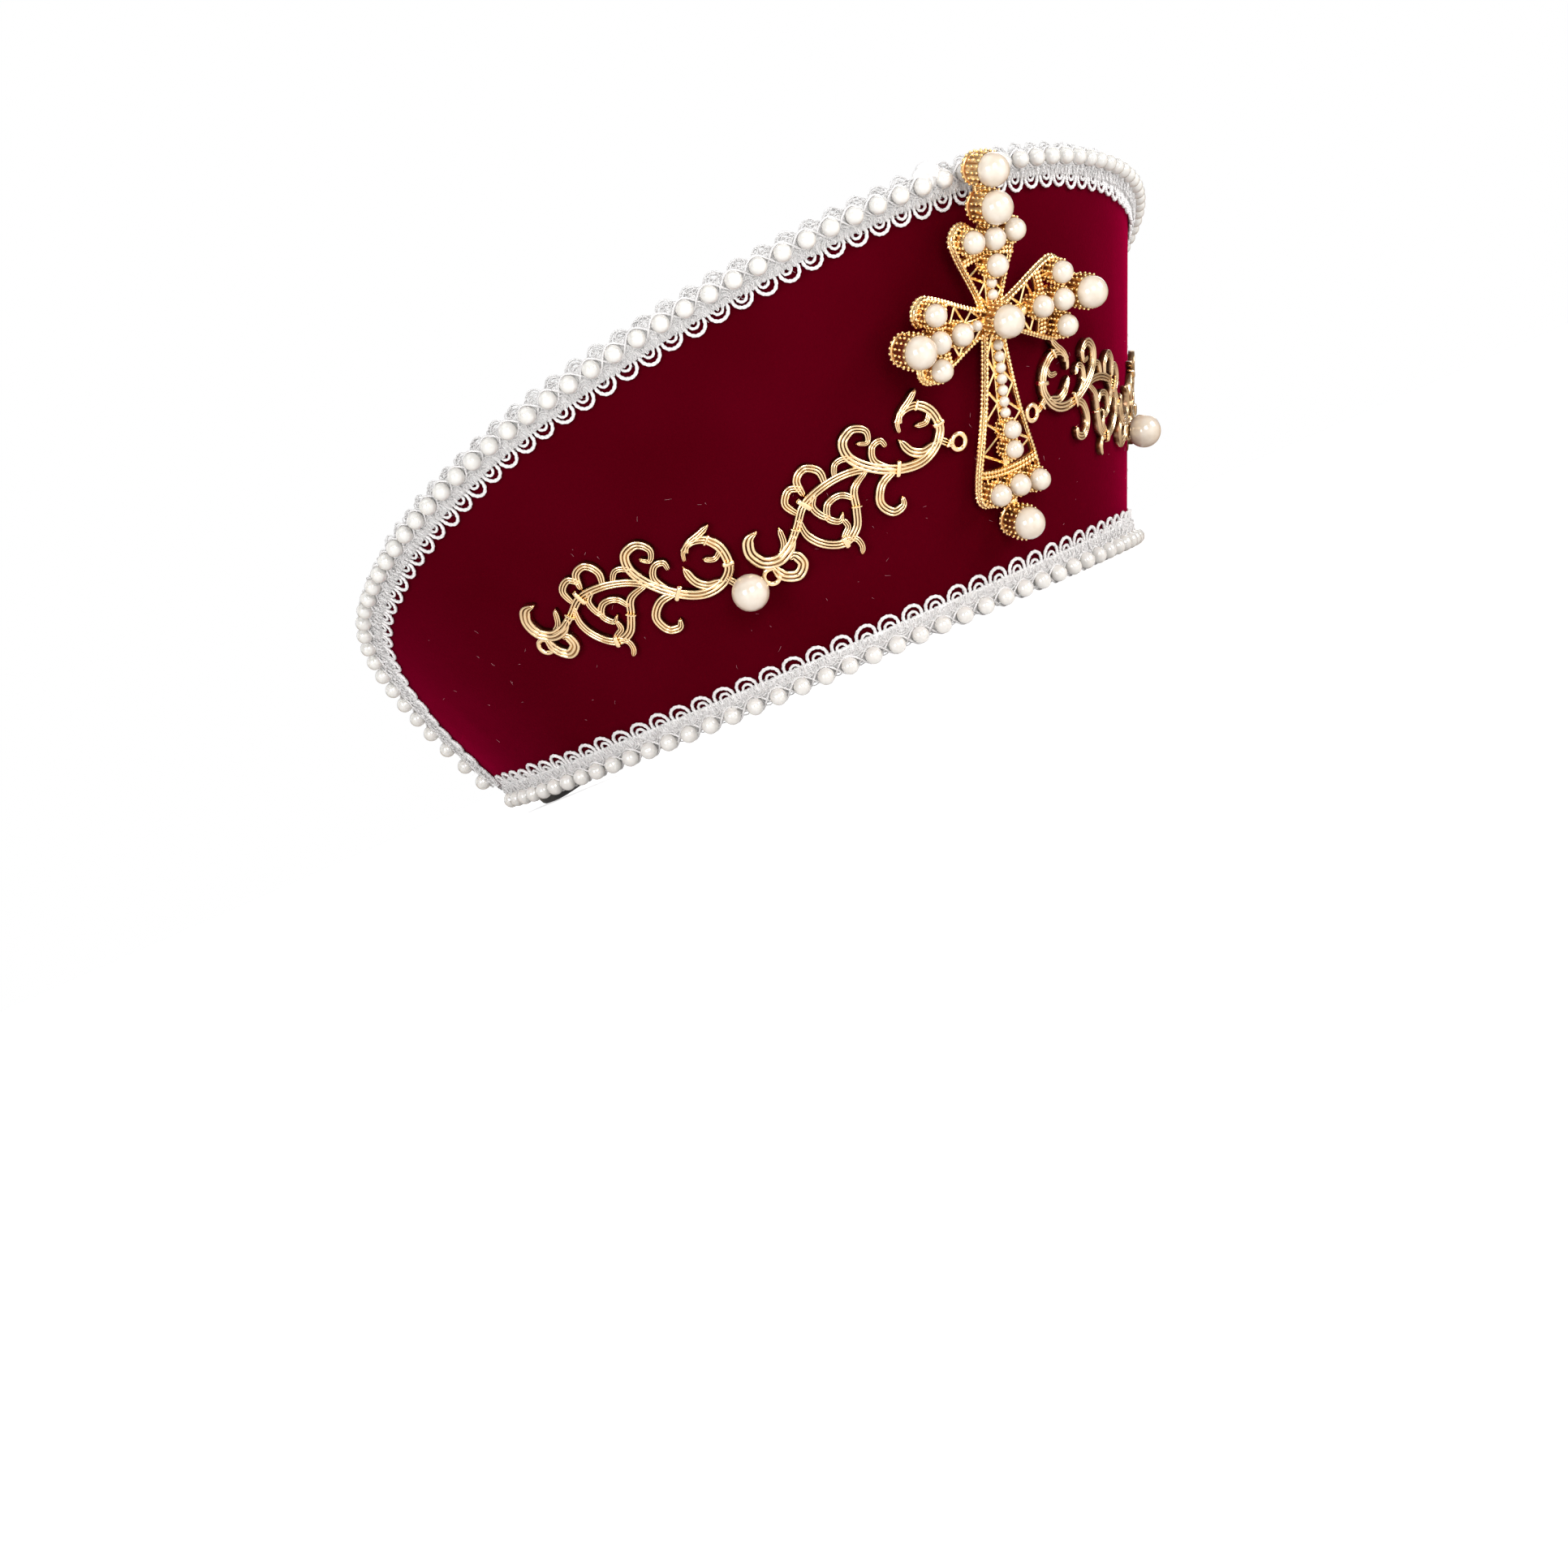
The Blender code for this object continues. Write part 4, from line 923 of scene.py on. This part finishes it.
cuppedPearls = {  # end of its node's name: diameter, x, y
    "centre": (8.0, 0.0, 0.0), "top": (8.0, 0.0, 35.8), "upper_end": (8.0, 0.0, 27.0),
    "left_end": (8.0, -28.0, 0.0), "right_end": (8.0, 28.0, 0.0), "lower_end": (8.0, 0.0, -50.5),
    "upper_arm": (5.5, 0.0, 13.3), "upper_trefoil_a": (5.5, -6.6, 20.2),
    "upper_trefoil_b": (5.5, 0.0, 19.6), "upper_trefoil_c": (5.5, 6.6, 20.2),
    "left_arm": (5.5, -13.2, 0.0), "left_trefoil_a": (5.5, -20.6, -6.6),
    "left_trefoil_b": (5.5, -20.2, 0.0), "left_trefoil_c": (5.5, -20.6, 6.6),
    "right_arm": (5.5, 13.2, 0.0), "right_trefoil_a": (5.5, 20.6, 6.6),
    "right_trefoil_b": (5.5, 20.2, 0.0), "right_trefoil_c": (5.5, 20.6, -6.6),
    "lower_arm_a": (4.5, 0.0, -27.0), "lower_arm_b": (4.5, 0.0, -32.0),
    "lower_trefoil_a": (5.5, -6.6, -41.6), "lower_trefoil_b": (5.5, 0.0, -41.0),
    "lower_trefoil_c": (5.5, 6.6, -41.6),
}


def crossAxes():  # rows for the cross's right, up and front, and its middle
    tilt = np.radians(crossLook["tilt"])
    up = np.array([0.0, -np.sin(slope + tilt), np.cos(slope + tilt)])
    front = np.array([0.0, -np.cos(slope + tilt), -np.sin(slope + tilt)])
    foot = crossLook["heightOnWall"] - crossLook["footReach"] * np.cos(tilt)
    middle = wallPoint(0.0, foot, crossLook["footOut"] + crossLook["cupBelow"]) + crossLook["footReach"] * up
    return np.stack([[1.0, 0.0, 0.0], up, front]), middle


def turnedArm(points, quarter):  # points of an arm that points up, turned by quarters of a circle
    return np.stack(spun(*np.asarray(points, float).T, np.radians(90.0 * quarter)), -1)


def wire(path, radius, level, sides=8):
    path = np.column_stack([path, np.full(len(path), level)])
    return tube(path, (0.0, 0.0, 1.0), radius, sides)


def beadWire(path, radius, level, sides=7):  # milled wire: the radius swells once for each bead
    path = resampled(path, crossLook["bead"] / 4)
    swell = np.abs(np.sin(np.pi * travelled(path) / crossLook["bead"]))
    part = wire(path, radius * (0.5 + 0.62 * swell), level, sides)
    # Painted shade between the beads, where the wire narrows
    return dict(part, shade=np.repeat(np.clip(1.0 - 1.3 * swell, 0.0, 1.0), sides))


def barPart(path, half, low, high):  # flat bar with its corners cut, carried along a line in the plane
    cut = min(0.25, half * 0.4)
    across = np.array([-half, -half, cut - half, half - cut, half, half])
    level = (low, high - cut, high, high, high - cut, low)
    # Painted shade down the bar's sides, darkest at its foot
    return flatBar(resampled(path, 0.8), across, level, (0.9, 0.25, 0.0, 0.0, 0.25, 0.9))


def cupSizes(diameter):  # height of a cup's rim, radius where it touches the pearl, wall outside, flutes
    radius, below = diameter / 2, crossLook["cupBelowMiddle"]
    rim = crossLook["cupFloor"] + (radius + gap) * np.sqrt(2.0) - below * radius
    touch = radius * np.sqrt(1 - below ** 2)
    return rim, touch, touch + crossLook["cupWall"], 18 if diameter > 7 else 13


def cupPart(diameter, x, y):
    # Fluted cup: a profile of radius and height turned round, the radius swelling with cos(n angle), up to
    # a rim just below the pearl's widest ring, where it closes on the pearl
    rim, touch, wall, flutes = cupSizes(diameter)
    foot, low = wall * 0.88, -crossLook["cupBelow"]
    # Each ring: radius, height, depth of the flutes, shade
    rings = ((foot * 0.9, low, 0.0, 0.9), (foot, low + 0.25, 0.0, 0.6), (foot, low + 0.8, 0.0, 0.3),
             (foot * 0.93, low + 1.05, 0.0, 0.9), (wall * 0.93, rim * 0.36, 0.06, 0.3),
             (wall * 0.98, rim * 0.6, 0.09, 0.1), (wall, rim * 0.84, 0.09, 0.0),
             (wall * 0.98, rim * 0.95, 0.06, 0.0), (touch + 0.2, rim, 0.03, 0.1),
             (touch + 0.02, rim - 0.15, 0.0, 0.6), (touch * 0.85, rim * 0.7, 0.0, 1.0),
             (touch * 0.5, rim * 0.4, 0.0, 1.0))
    radius, level, depth, dark = np.array(rings).T[..., None]
    turn = circle(flutes * 4)
    groove = np.cos(flutes * turn)
    points = ringAt(x, y, radius * (1 - depth * (0.5 - 0.5 * groove)), level, turn)
    # Painted shade between the flutes, added to each ring's own painted shade
    hollowShade = np.clip(depth / 0.07, 0.0, 1.0) * np.clip(0.4 - groove, 0.0, 1.0)
    return ringed(points, shade=np.clip(hollowShade + dark, 0.0, 1.0).ravel())


def granulePart(diameter, x, y):  # rings of grains, one on each flute: the rim, two on the wall, the foot
    rim, _, wall, flutes = cupSizes(diameter)
    rings = ((wall * 0.98, rim - 0.12), (wall, rim * 0.72), (wall * 0.97, rim * 0.44), (wall * 0.9, 0.4))
    radius, level = np.array(rings).T[..., None]
    places = ringAt(x, y, radius, level, circle(flutes)).reshape(-1, 3)
    return scattered(ball(7, 4), crossLook["granule"], places)


def armParts(quarter, kind, reach):
    # Spine, then on each side an outline and a hook with beaded edges, a rail, a zigzag lattice and two
    # struts, and a beaded bow across the end; drawn pointing up and turned by quarters
    rim = np.array(crossLook[kind + "Rim"])[:, ::-1]
    lattice, band = crossLook[kind + "Lattice"], crossLook[kind + "Band"]
    spine, depth = crossLook["spineHalf"], crossLook["rimDepth"]
    cupX, cupY = crossLook["hookX"], crossLook["hookY"][kind]
    hook, first, last = crossLook["hook"]
    turn = np.radians(np.linspace(first, last, 16))
    half, *edge = np.interp([band, *lattice], rim[:, 1], rim[:, 0])
    inside = np.arange(len(lattice)) % 2 == 0
    parts = []

    def bar(path, *sizes):
        parts.append(barPart(turnedArm(path, quarter), *sizes))

    def beads(path, *sizes):
        parts.append(beadWire(turnedArm(path, quarter), *sizes))

    def rod(path, step, *sizes):
        parts.append(wire(resampled(turnedArm(path, quarter), step), *sizes))

    bar([(0.0, 2.0), (0.0, reach)], spine - 0.35, 0.1, 1.25)
    for side in (-1, 1):
        outline = smoothPath(rim * [side, 1.0], 6)
        inner, outer = (ringAt(cupX, cupY, size, 0.0, turn)[:, :2] * [side, 1.0]
                        for size in (hook, hook + 0.4))
        for line, beyond, width, bead in ((outline, outline + [side * 0.4, 0.0], crossLook["rimHalf"], 0.45),
                                          (inner, outer, 0.5, 0.5)):
            bar(line, width, -0.1, depth - 0.5)
            beads(line, bead, depth - 0.35)
            beads(beyond, bead, 0.3)
        rod([(side * spine, 3.0), (side * spine, band - 0.4)], 1.0, 0.26, 1.3)
        zigzag = np.stack([side * np.where(inside, spine, np.array(edge) - 0.3), lattice], -1)
        for pair in zip(zigzag[:-1], zigzag[1:]):
            rod(pair, 0.7, crossLook["latticeWire"], 1.2, 6)
        for x in (side * 0.38 * half, side * 0.72 * half):
            rod([(x, band), (x * 1.12, band + 3.6)], 0.7, 0.42, 1.2, 6)
    across = np.linspace(-1.0, 1.0, 17)
    bow = np.stack([across * half, band + 1.1 * (1 - across ** 2)], -1)
    for shift in (-0.55, 0.55):
        beads(bow + [0.0, shift], 0.55, 1.75)
    bar(bow, 1.0, 0.1, 1.4)
    return parts


def buildCross(look):
    axes, middle = crossAxes()
    flat = []
    for arm in look["arms"]:
        flat += armParts(*arm)
    for row in cuppedPearls.values():
        flat += [cupPart(*row), granulePart(*row)]
    first, step, count = look["tinyDown"]
    spots = [(0.0, y) for y in look["tinyUp"]] + [(0.0, first + step * i) for i in range(count)]
    spots += [(side * x, 0.0) for side in (-1, 1) for x in look["tinySide"]]
    radius = look["tiny"] / 2
    # The last bead of the right arm is gold
    *tiny, goldBead = [(x, y, look["plate"] + radius / 2) for x, y in spots]
    flat.append(scattered(ball(12, 6), radius * 1.06, np.array(tiny) - [0.0, 0.0, radius * 0.55]))
    flat.append(scattered(ball(16, 10), radius * 0.95, [goldBead, (0.0, -45.6, 1.6)]))
    work = [moved(part, 1.0, middle, axes) for part in flat]
    makePiece("crossWork", work, warmGold, ["cross_frame"], 45)
    pearls = moved(scattered(ball(20, 12), radius, tiny), 1.0, middle, axes)
    makePiece("tinyPearls", [pearls], creamPearl)
    for name, (diameter, _, _) in cuppedPearls.items():
        node = "pearl_" + name
        low, high = (np.array(corner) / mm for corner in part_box(node))
        pearl = moved(ball(40, 24), diameter / 2, (low + high) / 2, axes)
        makePiece("round_" + node, [pearl], creamPearl, [node])
    print("cross made")


buildCross(crossLook)

# Side pearls: flat below, where they are glued between the scrolls
sidePearlLook = {"size": 9.0, "seat": 0.75}


def buildSidePearls(look):
    start, height = scrollLook["outer"]["start"], scrollLook["outer"]["height"]
    out = 2 * gap + scrollLook["thick"] + look["size"] / 2 * look["seat"]
    for side, hand in ((-1, "left"), (1, "right")):
        angle = side * arcAngle(start)
        front = wallNormal(angle, height)
        up = wallPoint(angle, height + 1.0, 0.0) - wallPoint(angle, height, 0.0)
        axes = np.stack([np.cross(up, front), up, front])
        pearl = moved(ball(48, 26, look["seat"]), look["size"] / 2, wallPoint(angle, height, out), axes)
        makePiece(hand + "SidePearl", [pearl], creamPearl, ["side_pearl_" + hand], 60)
    print("side pearls made")


buildSidePearls(sidePearlLook)

# Studio: a pale floor under a white sky, one broad light above and soft boxes in front
studioLook = {
    "floorRadius": 9000.0,
    "floorColour": (0.92, 0.92, 0.92),
    "floorSeen": 0.58,  # white added where the camera sees the floor
    "floorShine": 0.36,  # and a painted glow where metal and pearls mirror it, most on the camera's side
    "floorFar": (0.30, 0.21, 0.12),  # its painted reflection colour where they mirror it on the far side
    "shineWay": (-0.57, -0.82, 0.0),
    "backdrop": (1.0, 1.0, 1.0),
    "sky": (0.98, 0.99, 1.0),
    "skyStrength": 0.4,
    "above": {"strength": 0.5, "spread": 50.0, "tilt": (6.0, -12.0)},
    # Boxes: degrees right of and above the camera's line in the picture, distance and side in m, watts
    "boxes": ((-33.0, -4.0, 1.5, 0.55, 10.0), (17.0, -4.0, 1.5, 0.55, 10.5), (72.0, 10.0, 1.6, 0.7, 15.5),
              (-118.0, 0.0, 1.6, 1.3, 3.6), (175.0, 35.0, 2.0, 1.4, 12.0)),
}


def buildFloor(look):  # a flat disc of rings whose radius grows with the square of their number
    rings, sides = 24, 72
    radius = look["floorRadius"] * (np.arange(1, rings + 1) / rings)[:, None] ** 2
    disc = {"points": ringAt(0.0, 0.0, radius, 0.0, circle(sides)).reshape(-1, 3),
            "faces": [np.arange(sides)[None], gridFaces(rings, sides)[:, ::-1]]}
    material, tree, shader = newMaterial("palePaper", {"Roughness": 1.0, "Specular IOR Level": 0.0,
                                                       "Emission Color": (1.0, 1.0, 1.0)})
    ray, place = addNode(tree, "LightPath", {}).outputs, addNode(tree, "TexCoord", {}).outputs["Object"]
    way = addNode(tree, "VectorMath", {0: place}, operation="NORMALIZE").outputs[0]
    side = addNode(tree, "VectorMath", {0: way, 1: look["shineWay"]}, operation="DOT_PRODUCT")
    near = addRamp(tree, side.outputs["Value"], -0.6, 0.8)
    # Painted glow seen only in the reflections on metal and pearls
    mirrored = addMath(tree, "MULTIPLY", ray["Is Glossy Ray"], near)
    seen = addMath(tree, "MULTIPLY", ray["Is Camera Ray"], look["floorSeen"])
    feed(tree, shader["Emission Strength"], addMath(tree, "MULTIPLY_ADD", mirrored, look["floorShine"], seen))
    dark = [tone * 0.99 for tone in look["floorColour"]]
    paper = addGroup(tree, softMottle, Scale=2.0, Dark=dark, Light=look["floorColour"]).outputs["Colour"]
    # Painted reflection: a darker tint seen only where metal and pearls mirror the far side
    far = addMath(tree, "SUBTRACT", ray["Is Glossy Ray"], mirrored)
    feed(tree, shader["Base Color"], addMix(tree, far, paper, look["floorFar"]))
    floor = inScene("studioFloor", meshOf("studioFloor", [disc], material))


def buildSky(look):  # pure white where it is seen, a dimmer cool white where it lights the coronet
    world = bpy.data.worlds.new("studioSky")
    world.use_nodes = True
    tree = world.node_tree
    seen = addNode(tree, "LightPath", {}).outputs["Is Camera Ray"]
    dim = addNode(tree, "Background", {"Color": look["sky"], "Strength": look["skyStrength"]})
    white = addNode(tree, "Background", {"Color": look["backdrop"]})
    mix = addNode(tree, "MixShader", {0: seen, 1: dim.outputs[0], 2: white.outputs[0]})
    feed(tree, tree.nodes["World Output"].inputs["Surface"], mix.outputs[0])
    bpy.context.scene.world = world


def buildLights(look, view):
    overhead = bpy.data.lights.new("broadLight", "SUN")
    overhead.energy = look["above"]["strength"]
    overhead.angle = np.radians(look["above"]["spread"])
    inScene("broadLight", overhead).rotation_euler = (*np.radians(look["above"]["tilt"]), 0.0)
    ahead, across, above = pictureAxes(view)
    aim = Vector((0.0, 0.0, 0.05))
    for number, (right, up, distance, side, power) in enumerate(look["boxes"]):
        a, e = np.radians(right), np.radians(up)
        way = Vector((across * np.sin(a) - ahead * np.cos(a)) * np.cos(e) + above * np.sin(e))
        light = bpy.data.lights.new(f"softBox{number}", "AREA")
        light.shape = "SQUARE"
        light.size = side
        light.energy = power
        box = inScene(f"softBox{number}", light)
        box.location = aim + way * distance
        box.location.z = max(box.location.z, side * 0.6)
        box.rotation_euler = (aim - box.location).to_track_quat("-Z", "Y").to_euler()


buildFloor(studioLook)
buildSky(studioLook)
buildLights(studioLook, cameraView)
makeCamera(cameraView, (0.0, wallShape["centreY"], 0.0))
bpy.context.scene.view_settings.view_transform = "Standard"
print("studio made")
